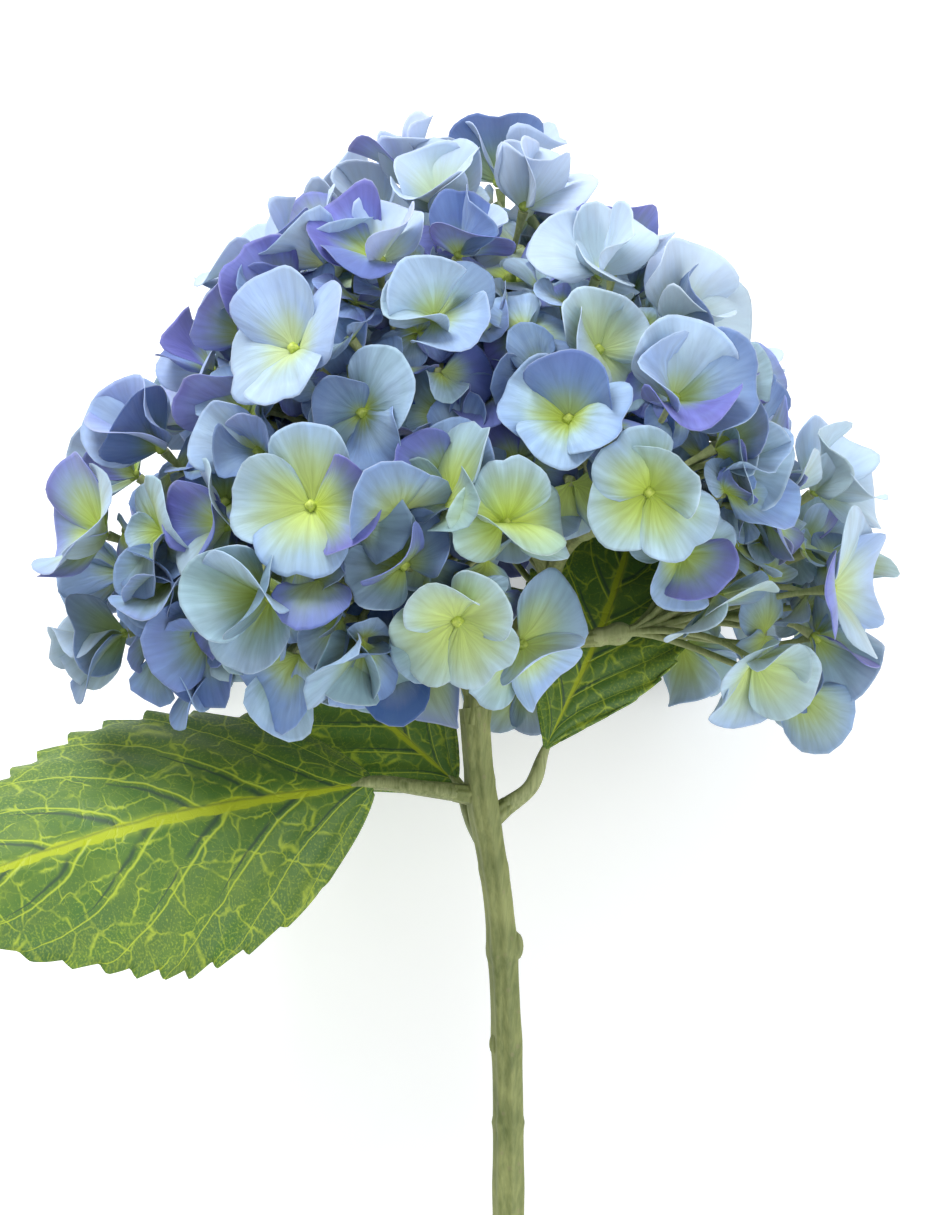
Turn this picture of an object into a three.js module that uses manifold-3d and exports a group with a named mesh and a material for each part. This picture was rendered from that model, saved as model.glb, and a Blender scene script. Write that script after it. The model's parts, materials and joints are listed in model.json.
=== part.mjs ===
// A cut hydrangea: one mophead bloom of four-petalled florets on its ribbed stem, with three leaves, lying down.
// Millimetres, +Z up. The flower is worked out upright, in its own frame: x to the right, y up the stem, z to
// the front, with its origin where the stem enters the bloom. One tilted group then lays it on the surface z = 0,
// with the origin where the bloom rests on that surface.
import * as THREE from "three";
import { mergeVertices } from "three/addons/utils/BufferGeometryUtils.js";
import Module from "manifold-3d";

const wasm = await Module();
wasm.setup();

// ---- Driving dimensions ----------------------------------------------------------------------------------------
const STEM_LENGTH = 240; // from the bloom down to the cut
const STEM_RADIUS = 3.4;
const LAY_ANGLE = 16; // degrees that the stem slopes down from the bloom to its cut end
const REST_HEIGHT = 69.37; // of the bloom's base above the surface, so that the cut end just touches
const PETAL_LENGTH = 18;
const PETAL_WIDTH = 19;
const PETAL_THICKNESS = 0.7;
const LEAF_THICKNESS = 0.8;
const STALK_RADIUS = 0.75; // of a floret's own stalk
const SEAT_GAP = 0.3; // between pieces that are pushed together
const GOLDEN_ANGLE = Math.PI * (3 - Math.sqrt(5));

// ---- The sprays of the bloom -----------------------------------------------------------------------------------
// Each spray is a dome of florets round a focus: turn is its bearing round the stem (0 right, 90 front), reach its
// distance from the stem's line, height its level and dome its radius. fork names the branching it grows from.
const SPRAYS = [
  { name: "crown", turn: 90, reach: 0, height: 75, dome: 38, fork: "upper", tint: "sky" },
  { name: "upper_front_right", turn: 52, reach: 33, height: 57, dome: 36, fork: "upper", tint: "sky" },
  { name: "upper_front_left", turn: 126, reach: 35, height: 59, dome: 38, fork: "upper", tint: "periwinkle" },
  { name: "upper_left", turn: 198, reach: 33, height: 57, dome: 34, fork: "upper", tint: "sky" },
  { name: "upper_back", turn: 270, reach: 34, height: 61, dome: 38, fork: "upper", tint: "periwinkle" },
  { name: "upper_right", turn: 342, reach: 28, height: 54, dome: 34, fork: "upper", tint: "sky" },
  { name: "right", turn: 2, reach: 51, height: 22, dome: 33, fork: "lower", tint: "lavender" },
  { name: "front_right", turn: 50, reach: 48, height: 42, dome: 32, fork: "upper", tint: "periwinkle" },
  { name: "front", turn: 111, reach: 46, height: 27, dome: 35, fork: "lower", tint: "sky" },
  { name: "left", turn: 172, reach: 50, height: 29, dome: 33, fork: "lower", tint: "lavender" },
  { name: "back_left", turn: 238, reach: 53, height: 30, dome: 37, fork: "lower", tint: "sky" },
  { name: "back_right", turn: 300, reach: 52, height: 30, dome: 37, fork: "lower", tint: "periwinkle" },
];
const HEART = new THREE.Vector3(0, 36, 0); // the domes bulge away from here
const FORKS = { lower: new THREE.Vector3(0, -4, 0), upper: new THREE.Vector3(17, 22, 2) };
const HUB_SHARE = 0.64; // of the way from its fork to its focus, where a spray's stalks part
const HUB_RADIUS = 2.8;
const HUB_FOOT = 5; // from the hub's middle to its flat foot

// ---- The leaves ------------------------------------------------------------------------------------------------
// joint is the level on the stem that a stalk grows from, and growing its way out. The blade's midrib runs through
// base, arch and tip, facing is the side that shows, half is half its width and cup how far its edges rise. A blade
// with more taper is narrower towards its base.
const LEAVES = [
  {
    name: "leaf_left",
    joint: -24,
    growing: new THREE.Vector3(-1, 0.12, 0.1),
    base: new THREE.Vector3(-22, -20.5, 0.5),
    arch: new THREE.Vector3(-70, -29, 9),
    tip: new THREE.Vector3(-128, -49, 34),
    facing: new THREE.Vector3(0.1, 0.42, 0.9),
    half: 33,
    cup: -0.4,
    taper: 0.75,
  },
  {
    name: "leaf_right",
    joint: -29,
    growing: new THREE.Vector3(0.75, 0.6, -0.25),
    base: new THREE.Vector3(15.7, -13.4, -7),
    arch: new THREE.Vector3(29, 15, -12),
    tip: new THREE.Vector3(39, 46, -27),
    facing: new THREE.Vector3(0.05, 0.1, 1),
    half: 20,
    cup: 0.04,
    taper: 1.1,
  },
  {
    name: "leaf_behind",
    joint: -37,
    growing: new THREE.Vector3(-0.35, 0.6, -0.75),
    base: new THREE.Vector3(-4, -20.5, -9.5),
    arch: new THREE.Vector3(-30, 2, -22),
    tip: new THREE.Vector3(-56, 24, -42),
    facing: new THREE.Vector3(-0.3, 0.15, 0.9),
    half: 20,
    cup: 0.1,
    taper: 0.8,
  },
];
const TEETH = 11; // along each side of a leaf
const TOOTH_DEPTH = 0.07; // as a share of the blade's width there
const VEINS = 7; // to each side of the midrib
const STUB_LENGTH = 6.5; // from the stem's middle to where a leaf's stalk sits on it
const STUB_RADIUS = 1.9;

// Sprays that stop short of a leaf: their petals stay where point.away <= stop.
const LEAF_WALLS = {
  left: { away: new THREE.Vector3(0, -0.8, -0.6), stop: 0 },
  front: { away: new THREE.Vector3(0, -0.8, -0.6), stop: 1 },
  right: { away: new THREE.Vector3(-0.8, 0, -0.6), stop: -31 },
  back_right: { away: new THREE.Vector3(0, 0.29, 0.957), stop: -14 },
  back_left: { away: new THREE.Vector3(-0.395, 0.139, 0.911), stop: -14.5 },
};
for (const wall of Object.values(LEAF_WALLS)) wall.away.normalize();

// ---- Small helpers ---------------------------------------------------------------------------------------------
const rad = THREE.MathUtils.degToRad;
const vec = (x, y, z) => new THREE.Vector3(x, y, z);

// Repeatable draws from 0 to 1.
function seeded(seed) {
  let state = seed;
  return () => {
    state = (state * 48271) % 2147483647;
    return state / 2147483647;
  };
}

// A small vector drawn at random, as wide as the spread given.
const drift = (draws, spread) => vec(draws[0] - 0.5, draws[1] - 0.5, draws[2] - 0.5).multiplyScalar(spread);

// Two directions square to an axis and to each other.
function squareTo(axis) {
  const near = Math.abs(axis.y) < 0.9 ? vec(0, 1, 0) : vec(1, 0, 0);
  const side = near.cross(axis).normalize();
  return [side, axis.clone().cross(side)];
}

function geometryOf(points, index) {
  const geometry = new THREE.BufferGeometry();
  const positions = points.flatMap((point) => point.toArray());
  geometry.setAttribute("position", new THREE.Float32BufferAttribute(positions, 3));
  geometry.setIndex(index);
  return geometry;
}

// A closed geometry as a solid that can be joined, facing out.
function solidOf(geometry) {
  const bare = geometry.clone();
  bare.deleteAttribute("normal");
  bare.deleteAttribute("uv");
  const merged = mergeVertices(bare, 1e-4);
  const vertProperties = merged.attributes.position.array;
  const triVerts = new Uint32Array(merged.index.array);
  const made = new wasm.Manifold(new wasm.Mesh({ numProp: 3, vertProperties, triVerts }));
  if (made.volume() > 0) return made;
  return new wasm.Manifold(new wasm.Mesh({ numProp: 3, vertProperties, triVerts: triVerts.reverse() }));
}

const SLIVER = 0.01; // edges that joining leaves shorter than this are tidied away

// Solids that overlap, joined into one named mesh.
function meshOf(name, solids, material) {
  const made = solids.reduce((all, next) => all.add(next)).simplify(SLIVER).getMesh();
  const geometry = new THREE.BufferGeometry();
  geometry.setAttribute("position", new THREE.Float32BufferAttribute(made.vertProperties, 3));
  geometry.setIndex(Array.from(made.triVerts));
  geometry.computeVertexNormals();
  const mesh = new THREE.Mesh(geometry, material);
  mesh.name = name;
  return mesh;
}

// A tube along a curve, with flat ends. radiusAt(share, angle) gives its radius, with share from 0 to 1 along it.
function tube(curve, steps, sides, radiusAt) {
  const frames = curve.computeFrenetFrames(steps, false);
  const points = [];
  for (let step = 0; step <= steps; step++)
    for (let side = 0; side < sides; side++) {
      const angle = (2 * Math.PI * side) / sides;
      const radius = radiusAt(step / steps, angle);
      const point = curve.getPointAt(step / steps);
      point.addScaledVector(frames.normals[step], radius * Math.cos(angle));
      point.addScaledVector(frames.binormals[step], radius * Math.sin(angle));
      points.push(point);
    }
  const index = [];
  for (let step = 0; step < steps; step++)
    for (let side = 0; side < sides; side++) {
      const a = step * sides + side;
      const b = step * sides + ((side + 1) % sides);
      index.push(a, b, b + sides, a, b + sides, a + sides);
    }
  const last = steps * sides;
  for (let side = 1; side + 1 < sides; side++)
    index.push(0, side + 1, side, last, last + side, last + side + 1);
  return geometryOf(points, index);
}

// A thin closed sheet on a grid of points, the same thickness all over and cut into triangles alike on both faces.
function sheet(grid, thickness) {
  const rows = grid.length;
  const columns = grid[0].length;
  const at = (row, column) =>
    grid[THREE.MathUtils.clamp(row, 0, rows - 1)][THREE.MathUtils.clamp(column, 0, columns - 1)];
  const top = [];
  const bottom = [];
  for (let row = 0; row < rows; row++)
    for (let column = 0; column < columns; column++) {
      const along = at(row + 1, column).clone().sub(at(row - 1, column));
      const across = at(row, column + 1).clone().sub(at(row, column - 1));
      const normal = along.cross(across).normalize();
      top.push(at(row, column).clone().addScaledVector(normal, thickness / 2));
      bottom.push(at(row, column).clone().addScaledVector(normal, -thickness / 2));
    }
  const index = [];
  const under = rows * columns;
  for (let row = 0; row + 1 < rows; row++)
    for (let column = 0; column + 1 < columns; column++) {
      const a = row * columns + column;
      const [b, c, d] = [a + 1, a + columns + 1, a + columns];
      index.push(a, d, c, a, c, b);
      index.push(under + a, under + c, under + d, under + a, under + b, under + c);
    }
  const rim = [];
  for (let column = 0; column < columns; column++) rim.push(column);
  for (let row = 1; row < rows; row++) rim.push(row * columns + columns - 1);
  for (let column = columns - 2; column >= 0; column--) rim.push((rows - 1) * columns + column);
  for (let row = rows - 2; row > 0; row--) rim.push(row * columns);
  rim.forEach((a, place) => {
    const b = rim[(place + 1) % rim.length];
    index.push(a, b, under + b, a, under + b, under + a);
  });
  return geometryOf([...top, ...bottom], index);
}

// ---- Where the florets sit -------------------------------------------------------------------------------------
const layAngle = rad(LAY_ANGLE);
// A wall is a plane that petals stay behind, where point.normal <= offset.
const SURFACE = { normal: vec(0, -Math.sin(layAngle), -Math.cos(layAngle)), offset: REST_HEIGHT };
const roomTo = (wall, point) => wall.offset - point.dot(wall.normal);

const sprays = SPRAYS.map((spray) => {
  const [right, front] = [Math.cos(rad(spray.turn)), Math.sin(rad(spray.turn))];
  const focus = vec(spray.reach * right, spray.height, spray.reach * front);
  const hub = FORKS[spray.fork].clone().lerp(focus, HUB_SHARE);
  return { ...spray, focus, hub, florets: [] };
});

const SEED = 2027;
const DIRECTIONS = 166; // looked along from the heart, evenly all round
const LOWEST = -0.5; // directions lower than this point at the stem and hold no floret
const LOWEST_BEHIND = -0.3; // and behind the bloom these, unless they point at the surface below
const JITTER = 0.08; // of the directions
const SUNK = 8; // how much deeper every third floret sits
const ROUGH = 3; // the random part of a floret's depth
const PRESSED_UNDER = 6; // florets lower than this above the surface are pressed flat on it
const LOOSE_TILT = 0.6;
const OPEN = { least: 10, spread: 16 }; // degrees that petals stand up from their floret's face
// At the front, where the branches show, no floret sits this near to a line straight back, nor reaches so near to it.
const WINDOW = { middle: vec(32, 6, 0), radius: 22, clear: 12 };
const besideWindow = (point) => Math.hypot(point.x - WINDOW.middle.x, point.y - WINDOW.middle.y);

// Where a line from the heart leaves the last dome that it goes through.
function leave(direction) {
  let far = { distance: 0, spray: null };
  for (const spray of sprays) {
    const toFocus = spray.focus.clone().sub(HEART);
    const nearest = toFocus.dot(direction);
    const inside = nearest ** 2 - toFocus.lengthSq() + spray.dome ** 2;
    if (inside < 0) continue;
    const distance = nearest + Math.sqrt(inside);
    if (distance > far.distance) far = { distance, spray };
  }
  return far;
}

function placeFloret(number, draw) {
  const draws = Array.from({ length: 9 }, draw);
  const up = 1 - (2 * number + 1) / DIRECTIONS;
  const level = Math.sqrt(1 - up * up);
  const around = number * GOLDEN_ANGLE;
  const direction = vec(level * Math.cos(around), up, level * Math.sin(around));
  direction.add(drift(draws.slice(0, 3), JITTER)).normalize();
  const { distance, spray } = leave(direction);
  if (!spray || direction.y < LOWEST) return;
  const depth = (number % 3 === 2 ? SUNK : 0) + ROUGH * (draws[3] - 0.5);
  const centre = HEART.clone().addScaledVector(direction, distance - depth);
  if (centre.z > 0 && besideWindow(centre) < WINDOW.radius) return;
  const out = centre.clone().sub(spray.focus).normalize().add(direction).normalize();
  const facing = out.clone().add(drift(draws.slice(4, 7), LOOSE_TILT)).normalize();
  const pressed = roomTo(SURFACE, centre) < PRESSED_UNDER;
  if (!pressed && direction.z < 0 && direction.y < LOWEST_BEHIND) return;
  if (pressed) {
    const depthHere = roomTo(SURFACE, HEART) - PETAL_THICKNESS / 2;
    centre.copy(HEART).addScaledVector(direction, depthHere / direction.dot(SURFACE.normal));
    facing.copy(SURFACE.normal);
    out.copy(SURFACE.normal);
  }
  const reach = PETAL_LENGTH * (0.9 + 0.2 * draws[7]);
  const open = OPEN.least + OPEN.spread * draws[7];
  spray.florets.push({ centre, facing, out, pressed, reach, open, twist: (draws[8] * Math.PI) / 2 });
}

const draw = seeded(SEED);
for (let number = 0; number < DIRECTIONS; number++) placeFloret(number, draw);

// ---- How each floret's petals fit ------------------------------------------------------------------------------
// A petal is four points on its rim. It stands up from its floret's face by its bend, and by more or less of it, or
// is shorter, where a neighbour is in the way.
const PETAL_RIM = [
  { along: 0.58, across: -1 },
  { along: 0.97, across: -0.5 },
  { along: 0.97, across: 0.5 },
  { along: 0.58, across: 1 },
];
const PETAL_CURL = rad(13); // it leaves the centre steeper by this much
const PETAL_DISH = 0.9; // how far a petal's middle sinks below its rim
const BEAD_RADIUS = 0.9; // of the square middle that all four petals grow from
const PETAL_MARGIN = 0.6; // from a petal's mid-surface to a wall
const BENDS = [0, 10, -10, 20, -20, 30, -30, 40, 50, 58];
const STEEPEST = 72; // degrees that a petal stands up at most
const SHARES = [1, 0.88, 0.76, 0.64, 0.52, 0.4];
const LEAN = 1.2; // how much the walls between florets lean with their difference in depth

// A point of a petal: out from the floret's centre along its midline, and across it.
function petalPoint(floret, petal, along, across) {
  const slope = petal.bend + (floret.pressed ? 0 : PETAL_CURL * (1 - along));
  const length = along * petal.length;
  const neighbour = across < 0 ? petal.before : petal.after;
  const flatter = Math.min(Math.abs(petal.bend), Math.abs(neighbour));
  const fullHalf = (PETAL_WIDTH / 2) * (floret.reach / PETAL_LENGTH);
  const quarterHalf = Math.max(0.86 * (length * Math.cos(flatter) - 0.3), 0.4);
  return floret.centre
    .clone()
    .addScaledVector(petal.out, length * Math.cos(slope))
    .addScaledVector(floret.facing, length * Math.sin(slope))
    .addScaledVector(petal.across, across * Math.min(fullHalf, quarterHalf));
}

function petalOf(floret, number, walls) {
  const [first, second] = squareTo(floret.facing);
  const turn = floret.twist + (number * Math.PI) / 2;
  const petal = {
    out: first.clone().multiplyScalar(Math.cos(turn)).addScaledVector(second, Math.sin(turn)),
    across: second.clone().multiplyScalar(Math.cos(turn)).addScaledVector(first, -Math.sin(turn)),
    before: 0,
    after: 0,
  };
  const bends = floret.pressed ? [0] : BENDS.map((bend) => rad(Math.min(floret.open + bend, STEEPEST)));
  for (const share of SHARES)
    for (const bend of bends) {
      petal.length = floret.reach * share;
      petal.bend = bend;
      const rim = PETAL_RIM.map(({ along, across }) => petalPoint(floret, petal, along, across));
      if (floret.centre.z > 0 && rim.some((point) => besideWindow(point) < WINDOW.clear)) continue;
      if (rim.every((point) => walls.every((wall) => roomTo(wall, point) > PETAL_MARGIN))) return petal;
    }
  return null;
}

// The plane between two florets leans, so that the outer one's petals lie over the deeper one's.
function wallBetween(floret, other) {
  const normal = other.centre.clone().sub(floret.centre);
  const middle = floret.centre.clone().addScaledVector(normal, 0.5);
  const outward = floret.out.clone().add(other.out).normalize();
  normal.addScaledVector(outward, LEAN * normal.dot(outward)).normalize();
  return { normal, offset: middle.dot(normal) };
}

function wallsOf(floret, spray) {
  const walls = sprays
    .flatMap((each) => each.florets)
    .filter((other) => other !== floret && other.centre.distanceTo(floret.centre) < floret.reach + other.reach)
    .map((other) => wallBetween(floret, other));
  const leaf = LEAF_WALLS[spray.name];
  if (leaf) walls.push({ normal: leaf.away, offset: leaf.stop });
  if (!floret.pressed) walls.push(SURFACE);
  return walls;
}

function fitPetals(floret, spray) {
  const walls = wallsOf(floret, spray);
  floret.petals = [0, 1, 2, 3].map((number) => petalOf(floret, number, walls));
  if (floret.petals.includes(null)) return false;
  floret.petals.forEach((petal, number) => {
    petal.before = floret.petals[(number + 3) % 4].bend;
    petal.after = floret.petals[(number + 1) % 4].bend;
  });
  return true;
}

// A floret with no room for its petals is left out.
for (const spray of sprays) spray.florets = spray.florets.filter((floret) => fitPetals(floret, spray));

// ---- One floret on its stalk, as one closed body ---------------------------------------------------------------
// Each petal is a thin dished sheet that grows from one side of the square top of the stalk. Its under side is its
// top side moved down by its thickness, so both are cut into triangles alike.
function floretSolid(floret, hub) {
  const { centre, facing, petals } = floret;
  const half = PETAL_THICKNESS / 2;
  const corners = petals.map((petal) => petal.out.clone().sub(petal.across).normalize());
  const square = (middle, radius, lift) =>
    corners.map((way) => middle.clone().addScaledVector(way, radius).addScaledVector(facing, lift));
  const points = [...square(centre, BEAD_RADIUS, half), ...square(centre, BEAD_RADIUS, -half)];
  points.push(...square(hub, 0.7 * STALK_RADIUS, 0));
  const [base, root] = [4, 8]; // where the square's under side and the stalk's root start
  const index = [0, 1, 2, 0, 2, 3, root, root + 3, root + 2, root, root + 2, root + 1];
  petals.forEach((petal, number) => {
    const after = (number + 1) % 4;
    const up = facing.clone().multiplyScalar(Math.cos(petal.bend)).addScaledVector(petal.out, -Math.sin(petal.bend));
    const middle = petalPoint(floret, petal, 0.62, 0).addScaledVector(up, floret.pressed ? 0 : -PETAL_DISH);
    const blade = [middle, ...PETAL_RIM.map(({ along, across }) => petalPoint(floret, petal, along, across))];
    const top = points.length; // where the blade's top side starts, then its under side
    const under = top + blade.length;
    for (const lift of [half, -half]) points.push(...blade.map((point) => point.clone().addScaledVector(up, lift)));
    const rimAbove = [number, top + 1, top + 2, top + 3, top + 4, after];
    const rimBelow = [base + number, under + 1, under + 2, under + 3, under + 4, base + after];
    for (let place = 0; place < 6; place++) {
      const next = (place + 1) % 6;
      index.push(top, rimAbove[place], rimAbove[next], under, rimBelow[next], rimBelow[place]);
      if (place === 5) continue; // the side that it grows from
      index.push(rimAbove[place], rimBelow[place], rimBelow[next], rimAbove[place], rimBelow[next], rimAbove[next]);
    }
    index.push(base + after, base + number, root + number, base + after, root + number, root + after);
  });
  return solidOf(geometryOf(points, index));
}

// ---- The branches, and the hubs where the florets' stalks part ---------------------------------------------------
// A branch leaves its fork along the stem and curves out to its hub, which sits on it with a flat foot.
const BRANCH_BOW = 0.3;
for (const spray of sprays) {
  const fork = FORKS[spray.fork];
  const bow = fork.clone().add(vec(0, BRANCH_BOW * fork.distanceTo(spray.hub), 0));
  spray.growing = spray.hub.clone().sub(bow).normalize();
  const end = spray.hub.clone().addScaledVector(spray.growing, -HUB_FOOT - SEAT_GAP);
  spray.branch = new THREE.QuadraticBezierCurve3(fork, bow, end);
}

function hubSolid(spray) {
  const profile = [
    [0, -HUB_FOOT],
    [HUB_RADIUS * 0.75, -HUB_FOOT],
    [HUB_RADIUS, 0],
    [HUB_RADIUS * 0.7, 2],
    [0, 3],
  ].map(([radius, height]) => new THREE.Vector2(radius, height));
  const upright = new THREE.Quaternion().setFromUnitVectors(vec(0, 1, 0), spray.growing);
  const turned = new THREE.LatheGeometry(profile, 6).applyQuaternion(upright);
  return solidOf(turned.translate(...spray.hub.toArray()));
}

// ---- The stem --------------------------------------------------------------------------------------------------
const stemLine = new THREE.CatmullRomCurve3([
  vec(0, -4, 0),
  vec(1.5, -22, 0),
  vec(5.5, -48, 0),
  vec(7.3, -80, 0),
  vec(7.6, -118, 0),
  vec(7.2, -180, 0),
  vec(8, -STEM_LENGTH, 0),
]);
const trunkLine = new THREE.CatmullRomCurve3([vec(0, -8, 0), vec(2, 2, 0), vec(9, 11, 1), FORKS.upper]);
// Scars of fallen leaves stand out from the stem: level, and bearing round it.
const SCARS = [
  { level: -57, turn: 5, size: 1.9 },
  { level: -78, turn: 170, size: 1.4 },
  { level: -141, turn: 60, size: 1.6 },
];
const RIBS = 5;

// The stem line's point at a level.
const levels = stemLine.getSpacedPoints(STEM_LENGTH);
const stemAt = (level) =>
  levels.reduce((best, point) => (Math.abs(point.y - level) < Math.abs(best.y - level) ? point : best));

for (const leaf of LEAVES) {
  leaf.growing.normalize();
  leaf.root = stemAt(leaf.joint);
  leaf.seat = leaf.root.clone().addScaledVector(leaf.growing, STUB_LENGTH);
}

function scarSolid(scar) {
  const out = vec(Math.cos(rad(scar.turn)), 0, Math.sin(rad(scar.turn)));
  const place = stemAt(scar.level).clone().addScaledVector(out, STEM_RADIUS * 0.9);
  return solidOf(new THREE.IcosahedronGeometry(scar.size, 0).scale(1, 1.7, 1).translate(...place.toArray()));
}

function stemSolids() {
  const ribbed = (share, angle) =>
    STEM_RADIUS * (0.94 + 0.06 * Math.cos(RIBS * angle)) * (1 - 0.04 * Math.sin(9 * share));
  return [
    solidOf(tube(stemLine, 15, 10, ribbed)),
    solidOf(tube(trunkLine, 4, 8, (share) => 3.2 - 0.5 * share)),
    ...sprays.map((spray) => solidOf(tube(spray.branch, 3, 5, (share) => 1.9 - 0.25 * share))),
    ...LEAVES.map((leaf) => solidOf(tube(new THREE.LineCurve3(leaf.root, leaf.seat), 1, 6, () => STUB_RADIUS))),
    ...SCARS.map(scarSolid),
  ];
}

// ---- The leaves' blades and stalks -----------------------------------------------------------------------------
// Half the blade's width, as a share of its widest, at a share of its length.
const bladeShape = (share, taper) => Math.sin(Math.PI * share ** taper);

// One line of points across the blade, from edge to edge. Its edges are saw-toothed, with a tooth on every other line.
function bladeLine(leaf, midrib, row, rows) {
  const share = 0.01 + (0.98 * row) / rows;
  const along = midrib.getTangentAt(share);
  const side = leaf.facing.clone().cross(along).normalize();
  const up = along.clone().cross(side);
  const shape = bladeShape(share, leaf.taper);
  const tooth = row % 2 === 0;
  return [-1, -0.5, 0, 0.5, 1].map((across) => {
    const outset = Math.abs(across);
    const edge = outset === 1;
    const wide = leaf.half * shape * (edge && !tooth ? 1 - TOOTH_DEPTH : 1);
    const rib = outset === 0 ? 0 : 0.5 * shape * Math.cos(2 * Math.PI * (VEINS * share - 1.1 * outset));
    return midrib
      .getPointAt(share)
      .addScaledVector(along, edge && tooth ? 1.6 * shape : 0)
      .addScaledVector(side, across * wide)
      .addScaledVector(up, leaf.cup * leaf.half * shape * outset ** 1.5 + rib);
  });
}

function leafSolids(leaf) {
  const midrib = new THREE.CatmullRomCurve3([leaf.base, leaf.arch, leaf.tip]);
  const rows = 2 * TEETH;
  const grid = Array.from({ length: rows + 1 }, (_, row) => bladeLine(leaf, midrib, row, rows));
  const seat = leaf.seat.clone().addScaledVector(leaf.growing, SEAT_GAP);
  const bow = seat.clone().addScaledVector(leaf.growing, 0.4 * seat.distanceTo(leaf.base));
  const underneath = leaf.facing.clone().multiplyScalar(-0.8);
  const ribPoints = [0, 0.3, 0.6].map((share) => midrib.getPointAt(share).add(underneath));
  const stalk = new THREE.CatmullRomCurve3([seat, bow, ...ribPoints]);
  return [
    solidOf(sheet(grid, LEAF_THICKNESS)),
    solidOf(tube(stalk, 7, 5, (share) => 1.7 - 1.0 * share)),
  ];
}

// ---- The flower, laid down ---------------------------------------------------------------------------------------
const finish = (color, roughness) => new THREE.MeshStandardMaterial({ color, roughness, metalness: 0 });
const stemGreen = finish("#7d8f63", 0.55);
const leafGreen = finish("#4f7f23", 0.6);
const petalTints = {
  sky: finish("#8fb8dc", 0.75),
  periwinkle: finish("#8f9fdb", 0.75),
  lavender: finish("#a597dd", 0.75),
};

const flower = new THREE.Group();
flower.add(meshOf("stem", stemSolids(), stemGreen));
for (const leaf of LEAVES) flower.add(meshOf(leaf.name, leafSolids(leaf), leafGreen));
for (const spray of sprays) {
  const solids = [hubSolid(spray), ...spray.florets.map((floret) => floretSolid(floret, spray.hub))];
  flower.add(meshOf(`spray_${spray.name}`, solids, petalTints[spray.tint]));
}

// The bloom rests on its pressed florets. The origin is on the one nearest to the stem's line, under one petal.
const restFloret = sprays
  .flatMap((spray) => spray.florets)
  .filter((floret) => floret.pressed)
  .reduce((best, floret) => (Math.abs(floret.centre.x) < Math.abs(best.centre.x) ? floret : best));
const restSpot = petalPoint(restFloret, restFloret.petals[0], 0.6, 0);
restSpot.addScaledVector(SURFACE.normal, PETAL_THICKNESS / 2);

flower.rotation.x = layAngle;
flower.position.copy(restSpot).applyAxisAngle(vec(1, 0, 0), layAngle).negate();
const hydrangea = new THREE.Group();
hydrangea.add(flower);

export default hydrangea;
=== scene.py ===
"""A cut hydrangea, dressed over the solids of its frame: florets, stalks, stem, leaves and a studio stage."""

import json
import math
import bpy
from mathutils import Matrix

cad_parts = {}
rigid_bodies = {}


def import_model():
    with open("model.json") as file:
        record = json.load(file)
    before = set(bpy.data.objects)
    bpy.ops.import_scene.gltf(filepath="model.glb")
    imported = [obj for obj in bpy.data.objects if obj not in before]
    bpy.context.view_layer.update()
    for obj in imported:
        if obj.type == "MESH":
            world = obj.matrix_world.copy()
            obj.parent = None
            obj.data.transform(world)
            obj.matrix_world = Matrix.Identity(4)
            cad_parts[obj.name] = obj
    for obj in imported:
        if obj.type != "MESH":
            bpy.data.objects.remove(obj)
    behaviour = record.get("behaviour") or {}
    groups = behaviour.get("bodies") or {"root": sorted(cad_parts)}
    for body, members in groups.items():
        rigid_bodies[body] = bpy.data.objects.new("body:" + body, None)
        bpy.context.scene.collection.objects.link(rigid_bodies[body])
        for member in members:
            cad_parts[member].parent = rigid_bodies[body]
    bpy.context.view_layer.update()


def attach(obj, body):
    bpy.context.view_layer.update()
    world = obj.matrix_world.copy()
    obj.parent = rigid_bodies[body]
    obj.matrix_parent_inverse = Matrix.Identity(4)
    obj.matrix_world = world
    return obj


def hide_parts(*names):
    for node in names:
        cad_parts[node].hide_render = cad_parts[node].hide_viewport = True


bl_info = {
    "name": "Cut Hydrangea",
    "version": (1, 0, 0),
    "blender": (4, 5, 0),
    "location": "View3D > Sidebar > Hydrangea",
    "description": "Dresses a laid-down cut hydrangea with florets, stalks, stem and leaves, and lights it",
    "category": "Object",
}

import bpy
import numpy as np
from mathutils import Matrix, Vector

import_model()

# ---- The flower's own frame ------------------------------------------------------------------------------
# Millimetres, upright: x to the right, y up the stem, z to the front, with the origin where the stem enters
# the bloom.
STEM_LENGTH = 240.0
STEM_RADIUS = 3.4
LAY_ANGLE = math.radians(16)  # that the stem slopes down from the bloom to its cut end
REST_HEIGHT = 69.37
PETAL_LENGTH = 18.0
PETAL_WIDTH = 19.0
PETAL_THICKNESS = 0.7  # of the frame's petals
SEAT_GAP = 0.3  # that the frame's hubs and leaf stalks stand off what bears them
GOLDEN_ANGLE = math.pi * (3 - math.sqrt(5))

# name, bearing round the stem, distance from its line, level, dome radius, fork, tint
SPRAYS = (
    ("crown", 90, 0, 75, 38, "upper", "sky"),
    ("upper_front_right", 52, 33, 57, 36, "upper", "sky"),
    ("upper_front_left", 126, 35, 59, 38, "upper", "periwinkle"),
    ("upper_left", 198, 33, 57, 34, "upper", "sky"),
    ("upper_back", 270, 34, 61, 38, "upper", "periwinkle"),
    ("upper_right", 342, 28, 54, 34, "upper", "sky"),
    ("right", 2, 51, 22, 33, "lower", "lavender"),
    ("front_right", 50, 48, 42, 32, "upper", "periwinkle"),
    ("front", 111, 46, 27, 35, "lower", "sky"),
    ("left", 172, 50, 29, 33, "lower", "lavender"),
    ("back_left", 238, 53, 30, 37, "lower", "sky"),
    ("back_right", 300, 52, 30, 37, "lower", "periwinkle"),
)
HEART = np.array((0.0, 36.0, 0.0))  # that the florets grow away from
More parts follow.
